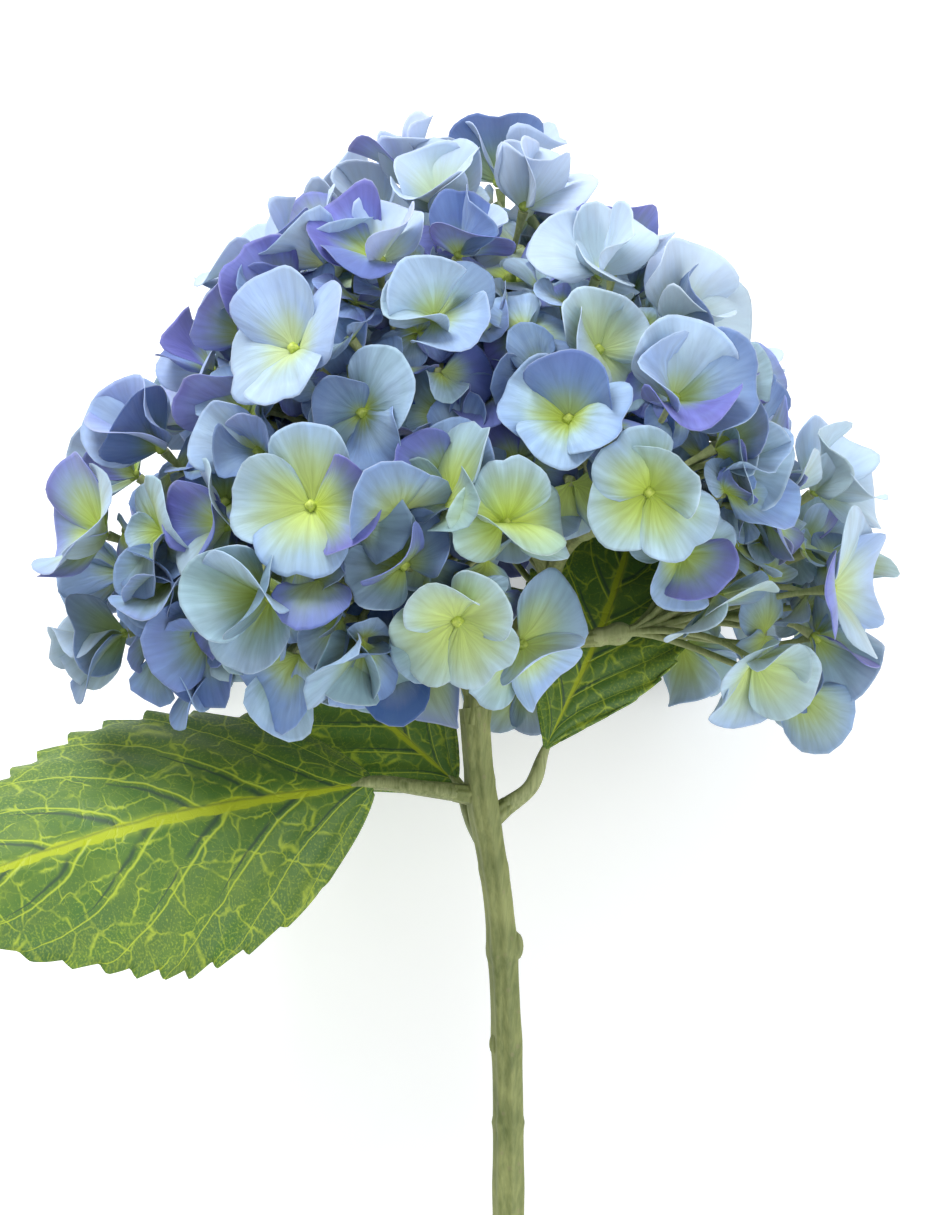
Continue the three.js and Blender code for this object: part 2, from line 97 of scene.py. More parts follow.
# Where the branches to the lower and the upper sprays leave the trunk.
FORKS = {"lower": np.array((0.0, -4.0, 0.0)), "upper": np.array((17.0, 22.0, 2.0))}
HUB_SHARE = 0.64  # of the way from a branch's fork to its dome's middle
HUB_FOOT = 5.0  # from a hub's foot to where its stalks part
BRANCH_BOW = 0.3

SEED = 2027
DIRECTIONS = 166  # from the heart, one for each floret that might grow
LOWEST, LOWEST_BEHIND = -0.5, -0.3  # level of the lowest directions, in front and behind
JITTER = 0.08  # of each direction, by chance
SUNK = 8.0  # that every third floret sits below its dome
ROUGH = 3.0  # that all their depths differ by
PRESSED_UNDER = 6.0  # a floret this near the surface below lies flat on it
LOOSE_TILT = 0.6  # of each floret's face, by chance
REACH_LEAST, REACH_SPREAD = 0.9, 0.2  # of a petal's length
OPEN_LEAST, OPEN_SPREAD = 10.0, 16.0  # degrees that a floret's petals stand up
WINDOW_MIDDLE, WINDOW_RADIUS, WINDOW_CLEAR = (32.0, 6.0), 22.0, 12.0  # where a leaf and the branches show

# Planes that a spray's petals stay behind, where they would meet a leaf: the way to the plane, and where it
# stops.
LEAF_WALLS = {
    "left": ((0, -0.8, -0.6), 0.0),
    "front": ((0, -0.8, -0.6), 1.0),
    "right": ((-0.8, 0, -0.6), -31.0),
    "back_right": ((0, 0.29, 0.957), -14.0),
    "back_left": ((-0.395, 0.139, 0.911), -14.5),
}

# joint is the level where a leaf leaves the stem, growing the way that its stalk leaves, half its blade's
# half width, cup how its sides rise or droop, and taper how far along it is widest.
LEAVES = {
    "leaf_left": dict(
        joint=-24, growing=(-1, 0.12, 0.1), midrib=((-22, -20.5, 0.5), (-70, -29, 9), (-128, -49, 34)),
        facing=(0.1, 0.42, 0.9), half=33, cup=-0.4, taper=0.75,
    ),
    "leaf_right": dict(
        joint=-29, growing=(0.75, 0.6, -0.25), midrib=((15.7, -13.4, -7), (29, 15, -12), (39, 46, -27)),
        facing=(0.05, 0.1, 1), half=20, cup=0.04, taper=1.1,
    ),
    "leaf_behind": dict(
        joint=-37, growing=(-0.35, 0.6, -0.75), midrib=((-4, -20.5, -9.5), (-30, 2, -22), (-56, 24, -42)),
        facing=(-0.3, 0.15, 0.9), half=20, cup=0.1, taper=0.8,
    ),
}
STUB_LENGTH = 6.5
SIDE_VEINS = 7  # to each side of the midrib
VEIN_SWEEP, VEIN_BOW = 2.5, 1.15  # how far they sweep to the tip, in gaps between veins, and how they bend

STEM_POINTS = (
    (0, -4, 0), (1.5, -22, 0), (5.5, -48, 0), (7.3, -80, 0), (7.6, -118, 0), (7.2, -180, 0),
    (8, -STEM_LENGTH, 0),
)
TRUNK_POINTS = ((0, -8, 0), (2, 2, 0), (9, 11, 1), (17, 22, 2))
KNOTS = (  # level, half width, swelling
    (-20, 1.2, 0.06), (-27, 5, 0.1), (-40, 1.0, 0.07), (-57, 4, 0.09), (-58, 1.2, 0.08), (-78, 4, 0.07),
    (-96, 1.1, 0.09), (-110, 5, 0.05), (-141, 5, 0.09), (-143, 1.2, 0.07), (-170, 1.2, 0.08),
    (-198, 4, 0.09), (-222, 1.3, 0.07),
)
SCARS = ((-57, 5, 1.9), (-78, 170, 1.4), (-141, 60, 1.6))  # level, bearing, size


# ---- Small helpers ---------------------------------------------------------------------------------------
def unit(vector):
    vector = np.asarray(vector, float)
    return vector / np.linalg.norm(vector)


def seeded(seed):
    """Repeatable draws from 0 to 1."""
    state = seed
    while True:
        state = state * 48271 % 2147483647
        yield state / 2147483647


def smooth(low, high, value):
    """0 below low, 1 above high, and an even rise between them."""
    share = np.clip((np.asarray(value, float) - low) / (high - low), 0, 1)
    return share * share * (3 - 2 * share)


def square_to(axis):
    """Two directions square to an axis and to each other."""
    near = (0, 1, 0) if abs(axis[1]) < 0.9 else (1, 0, 0)
    side = unit(np.cross(near, axis))
    return side, np.cross(axis, side)


def smooth_path(points, count):
    """A centripetal Catmull-Rom curve through the points, as count points spaced evenly along it."""
    points = np.asarray(points, float)
    padded = np.vstack((2 * points[0] - points[1], points, 2 * points[-1] - points[-2]))
    dense = []
    for place in range(len(points) - 1):
        before, start, end, after = padded[place : place + 4]
        steps = ((before, start), (start, end), (end, after))
        first, step, last = (math.sqrt(np.linalg.norm(b - a)) for a, b in steps)
        leave = step * ((start - before) / first - (end - before) / (first + step) + (end - start) / step)
        arrive = step * ((end - start) / step - (after - start) / (step + last) + (after - end) / last)
        t = np.linspace(0, 1, 60, endpoint=place == len(points) - 2)[:, None]
        dense.append(
            start + leave * t + (3 * (end - start) - 2 * leave - arrive) * t**2
            + (2 * (start - end) + leave + arrive) * t**3
        )
    return spaced(np.vstack(dense), count)


def spaced(line, count):
    """The same line, as count points spaced evenly along it."""
    run = np.concatenate(([0], np.cumsum(np.linalg.norm(np.diff(line, axis=0), axis=1))))
    even = np.linspace(0, run[-1], count)
    return np.column_stack([np.interp(even, run, line[:, axis]) for axis in range(3)])


def bezier(controls, count):
    """A Bezier curve with three or four control points, as count points spaced evenly along it."""
    t = np.linspace(0, 1, 60)[:, None]
    lines = [np.asarray(point, float) + 0 * t for point in controls]
    while len(lines) > 1:
        lines = [a + (b - a) * t for a, b in zip(lines, lines[1:])]
    return spaced(lines[0], count)


# ---- Where the florets sit, and how their petals fit -----------------------------------------------------
SURFACE = (np.array((0, -math.sin(LAY_ANGLE), -math.cos(LAY_ANGLE))), REST_HEIGHT)


def room_to(wall, points):
    """How far points are behind a wall, which is a plane's normal and offset."""
    return wall[1] - np.asarray(points) @ wall[0]


class Spray:
    """A dome of florets on stalks that part at a hub."""

    def __init__(self, name, turn, reach, level, dome, fork, tint):
        turn = math.radians(turn)
        self.name, self.dome, self.tint = name, dome, tint
        self.focus = np.array((reach * math.cos(turn), level, reach * math.sin(turn)))
        self.fork = FORKS[fork]
        self.hub = self.fork + (self.focus - self.fork) * HUB_SHARE
        self.bow = self.fork + np.array((0, BRANCH_BOW * np.linalg.norm(self.hub - self.fork), 0))
        self.growing = unit(self.hub - self.bow)
        self.florets, self.fillers = [], []


def leave_domes(sprays, direction):
    """Where a line from the heart leaves the last dome that it goes through."""
    far, spray_there = 0, None
    for spray in sprays:
        to_focus = spray.focus - HEART
        nearest = to_focus @ direction
        inside = nearest**2 - to_focus @ to_focus + spray.dome**2
        if inside >= 0 and nearest + math.sqrt(inside) > far:
            far, spray_there = nearest + math.sqrt(inside), spray
    return far, spray_there


def beside_window(points):
    """How far points are from the line straight back where the branches show."""
    points = np.asarray(points)
    return np.hypot(points[..., 0] - WINDOW_MIDDLE[0], points[..., 1] - WINDOW_MIDDLE[1])


def spiral_direction(number, count, around):
    """One of count directions, spread evenly from the top down at an angle round the stem."""
    up = 1 - (2 * number + 1) / count
    level = math.sqrt(1 - up * up)
    return np.array((level * math.cos(around), up, level * math.sin(around)))


def place_floret(sprays, number, draws):
    """Adds a floret to the spray whose dome its direction leaves last, unless that is too low or in the
    window."""
    direction = spiral_direction(number, DIRECTIONS, number * GOLDEN_ANGLE)
    direction = unit(direction + JITTER * (draws[0:3] - 0.5))
    distance, spray = leave_domes(sprays, direction)
    if spray is None or direction[1] < LOWEST:
        return
    depth = (SUNK if number % 3 == 2 else 0) + ROUGH * (draws[3] - 0.5)
    centre = HEART + direction * (distance - depth)
    if centre[2] > 0 and beside_window(centre) < WINDOW_RADIUS:
        return
    out = unit(unit(centre - spray.focus) + direction)
    facing = unit(out + LOOSE_TILT * (draws[4:7] - 0.5))
    pressed = room_to(SURFACE, centre) < PRESSED_UNDER
    if not pressed and direction[2] < 0 and direction[1] < LOWEST_BEHIND:
        return
    if pressed:
        depth_here = room_to(SURFACE, HEART) - PETAL_THICKNESS / 2
        centre = HEART + direction * (depth_here / (direction @ SURFACE[0]))
        facing = out = SURFACE[0]
    spray.florets.append(
        dict(
            centre=centre, facing=facing, out=out, pressed=pressed, depth=depth,
            reach=PETAL_LENGTH * (REACH_LEAST + REACH_SPREAD * draws[7]),
            opening=OPEN_LEAST + OPEN_SPREAD * draws[7], twist=draws[8] * math.pi / 2,
        )
    )


PETAL_RIM = ((0.58, -1), (0.97, -0.5), (0.97, 0.5), (0.58, 1))  # along, across
PETAL_CURL = math.radians(13)
PETAL_MARGIN, GROWN_MARGIN = 0.6, 1.5  # kept from a wall by a petal as it is fitted, and when it has grown
BENDS = (0, 10, -10, 20, -20, 30, -30, 40, 50, 58)  # degrees tried, from the floret's own opening
STEEPEST = 72
SHARES = (1, 0.88, 0.76, 0.64, 0.52, 0.4)  # of its length, tried in turn
LEAN = 1.2  # of the planes between neighbours


def petal_point(floret, petal, along, across):
    """A point of a petal, by shares of its length and half width. Near the claw it keeps to its own quarter
    of the floret."""
    slope = petal["bend"] + (0 if floret["pressed"] else PETAL_CURL * (1 - along))
    length = along * petal["length"]
    full = PETAL_WIDTH / 2 * floret["reach"] / PETAL_LENGTH
    quarter = max(0.86 * (length - 0.3), 0.4)
    along_it = petal["out"] * math.cos(slope) + floret["facing"] * math.sin(slope)
    return floret["centre"] + along_it * length + petal["across"] * across * min(full, quarter)


def wall_between(floret, other, lean=LEAN):
    """The plane between two florets leans, so that the outer one's petals lie over the deeper one's."""
    normal = other["centre"] - floret["centre"]
    middle = floret["centre"] + normal / 2
    outward = unit(floret["out"] + other["out"])
    normal = unit(normal + outward * lean * (normal @ outward))
    return normal, middle @ normal


def walls_of(floret, spray, sprays=(), lean=LEAN):
    """The planes round a floret: the leaf's, the surface's, and those between it and its neighbours."""
    walls = [(np.zeros(3), 1e3)]  # one that nothing reaches, so that there is always a wall
    if spray.name in LEAF_WALLS:
        away, stop = LEAF_WALLS[spray.name]
        walls.append((unit(away), stop))
    if not floret["pressed"]:
        walls.append(SURFACE)
    for other in (other for each in sprays for other in each.florets if other is not floret):
        if np.linalg.norm(other["centre"] - floret["centre"]) < floret["reach"] + other["reach"]:
            walls.append(wall_between(floret, other, lean))
    return np.array([wall[0] for wall in walls]), np.array([wall[1] for wall in walls])


def clears(floret, petal, walls, margin):
    """Whether a petal's rim keeps a margin from every wall, and out of the window."""
    rim = np.array([petal_point(floret, petal, along, across) for along, across in PETAL_RIM])
    if floret["centre"][2] > 0 and (beside_window(rim) < WINDOW_CLEAR).any():
        return False
    return (walls[1] - rim @ walls[0].T > margin).all()


def fit_petal(floret, number, walls):
    """Stands the petal up by more or less, or shortens it, until it clears every wall."""
    first, second = square_to(floret["facing"])
    turn = floret["twist"] + number * math.pi / 2
    petal = dict(
        out=first * math.cos(turn) + second * math.sin(turn),
        across=second * math.cos(turn) - first * math.sin(turn),
    )
    bends = [0.0]
    if not floret["pressed"]:
        bends = [math.radians(min(floret["opening"] + bend, STEEPEST)) for bend in BENDS]
    for share in SHARES:
        for bend in bends:
            petal.update(length=floret["reach"] * share, bend=bend, share=share)
            if clears(floret, petal, walls, PETAL_MARGIN):
                return petal
    return None


GROWTHS = (1, 0.93, 0.86, 0.78, 0.7)  # of its grown length, tried in turn
GROWN_LEAST, GROWN_MORE = 0.42, 0.56  # of a full petal: a short one's grown length, and what its share adds


def full_length(floret, petal, walls):
    """A petal's grown length: it overlaps its neighbours' petals, but stays off the leaves and the table."""
    length = floret["reach"] * (GROWN_LEAST + GROWN_MORE * petal["share"])
    for growth in GROWTHS:
        if clears(floret, dict(petal, length=length * growth), walls, GROWN_MARGIN):
            break
    return length * growth


def grow_bloom():
    """The sprays, with each floret's place and its four petals."""
    sprays = [Spray(*row) for row in SPRAYS]
    draw = seeded(SEED)
    for number in range(DIRECTIONS):
        place_floret(sprays, number, np.array([next(draw) for _ in range(9)]))
    for spray in sprays:
        kept = []
        for floret in spray.florets:
            walls = walls_of(floret, spray, sprays)
            floret["petals"] = [fit_petal(floret, petal, walls) for petal in range(4)]
            if None not in floret["petals"]:
                kept.append(floret)
        spray.florets = kept
    fill_in(sprays)
    for spray in sprays:
        for floret in spray.florets:
            walls = walls_of(floret, spray)
            for petal in floret["petals"]:
                petal["full"] = full_length(floret, petal, walls)
    return sprays


FILLERS = 1500  # directions tried for the deeper florets
FILL_SPACING = 7.6
FILL_DEPTH, FILL_DEEPER = 3.0, 9.0  # least depth below the domes, and how much more it may be
FILL_LOWEST_BEHIND = LOWEST_BEHIND + 0.05
FILL_OFF_SURFACE, FILL_OFF_WINDOW, WINDOW_BACK = 12, 8, -15
FILL_TILT = 1.8
FILL_REACH_LEAST = 0.85
FILL_OPEN_LEAST, FILL_OPEN_SPREAD = 18, 22
LEAST_SHARE = 0.5  # of its length that a petal keeps, or it is left out
FILL_LEAN = 3.0


def fill_in(sprays):
    """Deeper florets, which close the bloom between the outer ones."""
    draw = seeded(SEED + 1)
    kept = np.zeros((0, 3))
    for number in range(FILLERS):
        draws = np.array([next(draw) for _ in range(9)])
        direction = spiral_direction(number, FILLERS, (number + 0.5) * GOLDEN_ANGLE + 1)
        distance, spray = leave_domes(sprays, direction)
        if spray is None or direction[1] < (LOWEST if direction[2] > 0 else FILL_LOWEST_BEHIND):
            continue
        depth = FILL_DEPTH + FILL_DEEPER * draws[3]
        centre = HEART + direction * (distance - depth)
        in_window = centre[2] > WINDOW_BACK and beside_window(centre) < WINDOW_RADIUS + FILL_OFF_WINDOW
        if in_window or room_to(SURFACE, centre) < FILL_OFF_SURFACE:
            continue
        if (np.linalg.norm(kept - centre, axis=1) < FILL_SPACING).any():
            continue
        facing = unit(unit(unit(centre - spray.focus) + direction) + FILL_TILT * (draws[4:7] - 0.5))
        floret = dict(
            centre=centre, facing=facing, out=facing, pressed=False, depth=depth,
            reach=PETAL_LENGTH * (FILL_REACH_LEAST + REACH_SPREAD * draws[7]),
            opening=FILL_OPEN_LEAST + FILL_OPEN_SPREAD * draws[8], twist=draws[0] * math.pi / 2,
        )
        walls = walls_of(floret, spray, sprays, FILL_LEAN)
        petals = [fit_petal(floret, petal, walls) for petal in range(4)]
        floret["petals"] = [petal for petal in petals if petal and petal["share"] > LEAST_SHARE]
        if len(floret["petals"]) > 1:
            spray.fillers.append(floret)
            kept = np.vstack((kept, centre))


# ---- The flower, laid down -------------------------------------------------------------------------------
LAID = np.array(Matrix.Rotation(LAY_ANGLE, 3, "X"))


def rest_spot(sprays):
    """The flat spot on the surface: the underside of a petal of the middlemost pressed floret."""
    pressed = [floret for spray in sprays for floret in spray.florets if floret["pressed"]]
    nearest = min(pressed, key=lambda floret: abs(floret["centre"][0]))
    return petal_point(nearest, nearest["petals"][0], 0.6, 0) + SURFACE[0] * PETAL_THICKNESS / 2


BLOOM = grow_bloom()
LAID_SHIFT = -LAID @ rest_spot(BLOOM)


def laid(points):
    """Points of the upright flower in millimetres, as points of the laid flower in metres."""
    return (np.asarray(points, float) @ LAID.T + LAID_SHIFT) / 1000


def laid_way(ways):
    """Directions of the upright flower, as directions of the laid flower."""
    return np.asarray(ways, float) @ LAID.T


# ---- Making pieces ---------------------------------------------------------------------------------------
def mesh_object(name, points, faces, attributes=(), uv=None):
    """A smooth mesh object, not yet in the scene. attributes holds (name, type, values) for its points, and
    uv a place for each point."""
    mesh = bpy.data.meshes.new(name)
    mesh.from_pydata([tuple(point) for point in np.asarray(points)], [], faces)
    for label, kind, values in attributes:
        layer = mesh.attributes.new(label, kind, "POINT")
        field = "vector" if kind == "FLOAT_VECTOR" else "value"
        layer.data.foreach_set(field, np.asarray(values, np.float32 if kind != "INT" else np.int32).ravel())
    if uv is not None:
        layer = mesh.uv_layers.new(name="UVMap")
        corners = np.empty(len(mesh.loops), np.int32)
        mesh.loops.foreach_get("vertex_index", corners)
        layer.data.foreach_set("uv", np.asarray(uv, np.float32)[corners].ravel())
    mesh.shade_smooth()
    mesh.update()
    return bpy.data.objects.new(name, mesh)


def curve_object(name, lines):
    """A curve object, not yet in the scene. Each line is its points in metres and the radius at each."""
    curve = bpy.data.curves.new(name, "CURVE")
    curve.dimensions = "3D"
    for points, radii in lines:
        spline = curve.splines.new("POLY")
        spline.points.add(len(points) - 1)
        spline.points.foreach_set("co", np.column_stack((points, np.ones(len(points)))).ravel())
        spline.points.foreach_set("radius", np.asarray(radii, float))
    return bpy.data.objects.new(name, curve)


def add(tree, kind, inputs=(), output=None, **settings):
    """Adds a node with its settings, fills its inputs, in order or by name, with values or with other nodes'
    outputs, and gives back its first output, or the one that is named."""
    node = tree.nodes.new(kind)
    stops = settings.pop("stops", ())  # of a colour ramp: (place, colour), in order
    for _ in stops[2:]:
        node.color_ramp.elements.new(0.5)
    for number, (place, colour) in enumerate(stops):
        node.color_ramp.elements[number].position = place
        node.color_ramp.elements[number].color = colour
    for name, value in settings.items():
        setattr(node, name, value)
    for key, value in inputs.items() if isinstance(inputs, dict) else enumerate(inputs):
        if isinstance(value, bpy.types.NodeSocket):
            tree.links.new(value, node.inputs[key])
        else:
            node.inputs[key].default_value = value
    if output:
        return node.outputs[output]
    return next((socket for socket in node.outputs if socket.enabled), None)


def node_tree(name, inputs):
    """A Geometry Nodes tree with a geometry going in and out, and named inputs of (name, type)."""
    tree = bpy.data.node_groups.new(name, "GeometryNodeTree")
    tree.interface.new_socket("Geometry", in_out="INPUT", socket_type="NodeSocketGeometry")
    for label, kind in inputs:
        tree.interface.new_socket(label, in_out="INPUT", socket_type=kind)
    tree.interface.new_socket("Geometry", in_out="OUTPUT", socket_type="NodeSocketGeometry")
    return tree


def grown(seed_object, name, tree, values):
    """Runs a Geometry Nodes tree on an object, and leaves its result in the scene as a plain named mesh."""
    scene = bpy.context.scene
    scene.collection.objects.link(seed_object)
    modifier = seed_object.modifiers.new("Grow", "NODES")
    modifier.node_group = tree
    for item in tree.interface.items_tree:
        if item.in_out == "INPUT" and item.name in values:
            modifier[item.identifier] = values[item.name]
    bpy.context.view_layer.update()
    graph = bpy.context.evaluated_depsgraph_get()
    mesh = bpy.data.meshes.new_from_object(seed_object.evaluated_get(graph), depsgraph=graph)
    seed_data = seed_object.data
    bpy.data.objects.remove(seed_object)
    (bpy.data.meshes if isinstance(seed_data, bpy.types.Mesh) else bpy.data.curves).remove(seed_data)
    mesh.name = name
    piece = bpy.data.objects.new(name, mesh)
    scene.collection.objects.link(piece)
    return piece


def dress(piece, slot, *nodes):
    """Puts a finished piece on the body, in place of the nodes that it stands for."""
    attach(piece, "root")
    if nodes:
        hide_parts(*nodes)


# ---- Materials -------------------------------------------------------------------------------------------
# A Map Range node's inputs, in order: a value, the range that it comes from and the range that it goes to.
def srgb(code):
    """A hex colour as linear red, green, blue and alpha."""
    parts = [int(code[place : place + 2], 16) / 255 for place in (1, 3, 5)]
    linear = [part / 12.92 if part <= 0.04045 else ((part + 0.055) / 1.055) ** 2.4 for part in parts]
    return (*linear, 1.0)


def new_material(name, **sockets):
    """A material with a bare shader, whose sockets are set by name, and its tree and its shader."""
    material = bpy.data.materials.new(name)
    material.use_nodes = True
    tree = material.node_tree
    shader = tree.nodes["Principled BSDF"]
    for label, value in sockets.items():
        shader.inputs[label.replace("_", " ")].default_value = value
    return material, tree, shader


def finish_surface(tree, shader, coat, height, strength, depth, rough=None, invert=False):
    """Gives a shader its colour, its bump, whose depth is in metres, and its roughness where that varies:
    what it follows, and its two ends."""
    tree.links.new(coat, shader.inputs["Base Color"])
    if rough:
        follows, low, high = rough
        roughness = add(tree, "ShaderNodeMapRange", (follows, 0, 1, low, high))
        tree.links.new(roughness, shader.inputs["Roughness"])
    bump = add(
        tree, "ShaderNodeBump", {"Height": height, "Strength": strength, "Distance": depth}, invert=invert
    )
    tree.links.new(bump, shader.inputs["Normal"])


def petal_material(colours):
    """Sepal tissue of a mophead hydrangea, grown: soft, matt and a little see-through, tinted in washes from
    a yellow-green heart to a blue or violet rim, with faint pleats that fan out from the claw, washed pale
    by a painted highlight and turned deep blue by painted shade."""
    material, tree, shader = new_material(
        "Hydrangea sepal", Roughness=0.62, IOR=1.4, Subsurface_Weight=0.15, Subsurface_Scale=0.0016,
        Subsurface_Radius=(1.0, 1.0, 1.0), Sheen_Weight=0.12, Sheen_Roughness=0.5,
    )
    place = add(tree, "ShaderNodeUVMap", uv_map="UVMap")
    fan, margin, _ = add(tree, "ShaderNodeSeparateXYZ", {"Vector": place}).node.outputs
    tint, glow, chance, pale = (
        add(tree, "ShaderNodeAttribute", output="Fac", attribute_name=label)
        for label in ("tint", "glow", "chance", "pale")
    )
    spread = add(tree, "ShaderNodeCombineXYZ", {"X": fan, "Y": margin, "Z": chance})
    # Pleats 1.3 mm apart across a petal 20 mm wide, long towards the rim.
    pleat_place = add(tree, "ShaderNodeVectorMath", (spread, (15, 1.1, 40)), operation="MULTIPLY")
    pleats = add(
        tree, "ShaderNodeTexNoise", {"Vector": pleat_place, "Scale": 1, "Detail": 3, "Roughness": 0.6}
    )
    # Washes of colour 8 mm wide.
    wash_place = add(tree, "ShaderNodeVectorMath", (spread, (2.6, 2.2, 60)), operation="MULTIPLY")
    wash = add(tree, "ShaderNodeTexNoise", {"Vector": wash_place, "Scale": 1, "Detail": 2})
    # The hue moves towards violet at the rim, and by the wash.
    rimward = add(tree, "ShaderNodeMath", (margin, 0.3, tint), operation="MULTIPLY_ADD")
    washed = add(tree, "ShaderNodeMath", (wash, 0.6, rimward), operation="MULTIPLY_ADD")
    hue = add(tree, "ShaderNodeMath", (washed, 0.5), operation="SUBTRACT")
    blues = ("teal", "ice", "sky", "periwinkle", "violet")
    coat = add(
        tree, "ShaderNodeValToRGB", {"Fac": hue},
        stops=[(number / 4, colours[label]) for number, label in enumerate(blues)],
    )
    # The heart's glow thins out in two steps, first to a grey green, and runs on along the pleats.
    uneven = add(tree, "ShaderNodeMath", (pleats, 0.3, margin), operation="MULTIPLY_ADD")
    for label, near, far in (("heart_edge", 0.25, 1.1), ("heart", 0.12, 0.8)):
        start, end = (
            add(tree, "ShaderNodeMath", (glow, share, 0.15), operation="MULTIPLY_ADD")
            for share in (near, far)
        )
        hearted = add(tree, "ShaderNodeMapRange", (uneven, start, end, 1, 0), interpolation_type="SMOOTHSTEP")
        coat = add(
            tree, "ShaderNodeMix", {"Factor": hearted, "A": coat, "B": colours[label]}, data_type="RGBA"
        )
    # Light and dark threads of colour along the pleats.
    thread = add(tree, "ShaderNodeMapRange", (pleats, 0.32, 0.68, 0.76, 1.14))
    coat = add(tree, "ShaderNodeHueSaturation", {"Value": thread, "Color": coat})
    # Paleness above 0 is a painted highlight. Paleness below 0 is painted shade of deeper and inner florets,
    # and the tone of deep-blue petals chosen by chance: a deeper blue, most of all towards the rim.
    depth = add(tree, "ShaderNodeMath", (pale, -1.0), operation="MULTIPLY")
    outward = add(tree, "ShaderNodeMapRange", (margin, 0, 1, 0.35, 1.1))
    shade_and_deep_blue = add(tree, "ShaderNodeMath", (depth, outward), operation="MULTIPLY", use_clamp=True)
    # A thin rim, a fifth of a millimetre wide, which comes and goes.
    rim_strength = add(tree, "ShaderNodeMapRange", (wash, 0.4, 0.6, 0, 0.3))
    rim_line = add(tree, "ShaderNodeMapRange", (margin, 0.988, 1.0, 0, rim_strength))
    # Mixes in the painted highlight's pale colour, the painted shade's deep blue, and the thin rim.
    for factor, label in ((pale, "pale"), (shade_and_deep_blue, "deep"), (rim_line, "rim")):
        coat = add(
            tree, "ShaderNodeMix", {"Factor": factor, "A": coat, "B": colours[label]}, data_type="RGBA"
        )
    finish_surface(tree, shader, coat, pleats, 0.55, 0.0005, rough=(pleats, 0.52, 0.74))
    return material


def bead_material(colours):
    """The shut true flower in a floret's middle, grown: a waxy yellow-green bead with soft mottling."""
    material, tree, shader = new_material("Flower bead", IOR=1.45)
    place = add(tree, "ShaderNodeTexCoord", output="Object")
    # Mottling 0.8 mm wide.
    mottle = add(tree, "ShaderNodeTexNoise", {"Vector": place, "Scale": 1250, "Detail": 2})
    coat = add(
        tree, "ShaderNodeValToRGB", {"Fac": mottle},
        stops=[(0.3, colours["bead_dark"]), (0.7, colours["bead"])],
    )
    finish_surface(tree, shader, coat, mottle, 0.4, 0.0002, rough=(mottle, 0.35, 0.6))
    return material


def stem_material(name, light, dark, streak):
    """Green wood of a stem, grown: satin, grey-green, with paler and darker fibres along it and small corky
    specks. streak is the fibres' width in millimetres."""
    material, tree, shader = new_material(name, IOR=1.45)
    place = add(tree, "ShaderNodeTexCoord", output="Object")
    # Fibres run along the stem, which is turned by the angle that it lies at.
    turned = add(
        tree, "ShaderNodeMapping", {"Vector": place, "Rotation": (-LAY_ANGLE, 0, 0), "Scale": (1, 0.06, 1)}
    )
    fibres = add(
        tree, "ShaderNodeTexNoise", {"Vector": turned, "Scale": 1000 / streak, "Detail": 4, "Roughness": 0.62}
    )
    # Washes 12 mm long.
    wash = add(tree, "ShaderNodeTexNoise", {"Vector": place, "Scale": 83, "Detail": 3})
    both = add(tree, "ShaderNodeMath", (fibres, wash), operation="ADD")
    half = add(tree, "ShaderNodeMath", (both, 0.5), operation="MULTIPLY")
    fibred = add(tree, "ShaderNodeValToRGB", {"Fac": half}, stops=[(0.36, dark), (0.62, light)])
    # Corky specks 1 mm wide, about 3 mm apart.
    specks = add(tree, "ShaderNodeTexVoronoi", {"Vector": place, "Scale": 300})
    speck = add(tree, "ShaderNodeMapRange", (specks, 0.1, 0.2, 0.35, 0))
    coat = add(tree, "ShaderNodeMix", {"Factor": speck, "A": fibred, "B": srgb("#8C8263")}, data_type="RGBA")
    finish_surface(tree, shader, coat, fibres, 0.6, 0.0005, rough=(fibres, 0.42, 0.68))
    return material


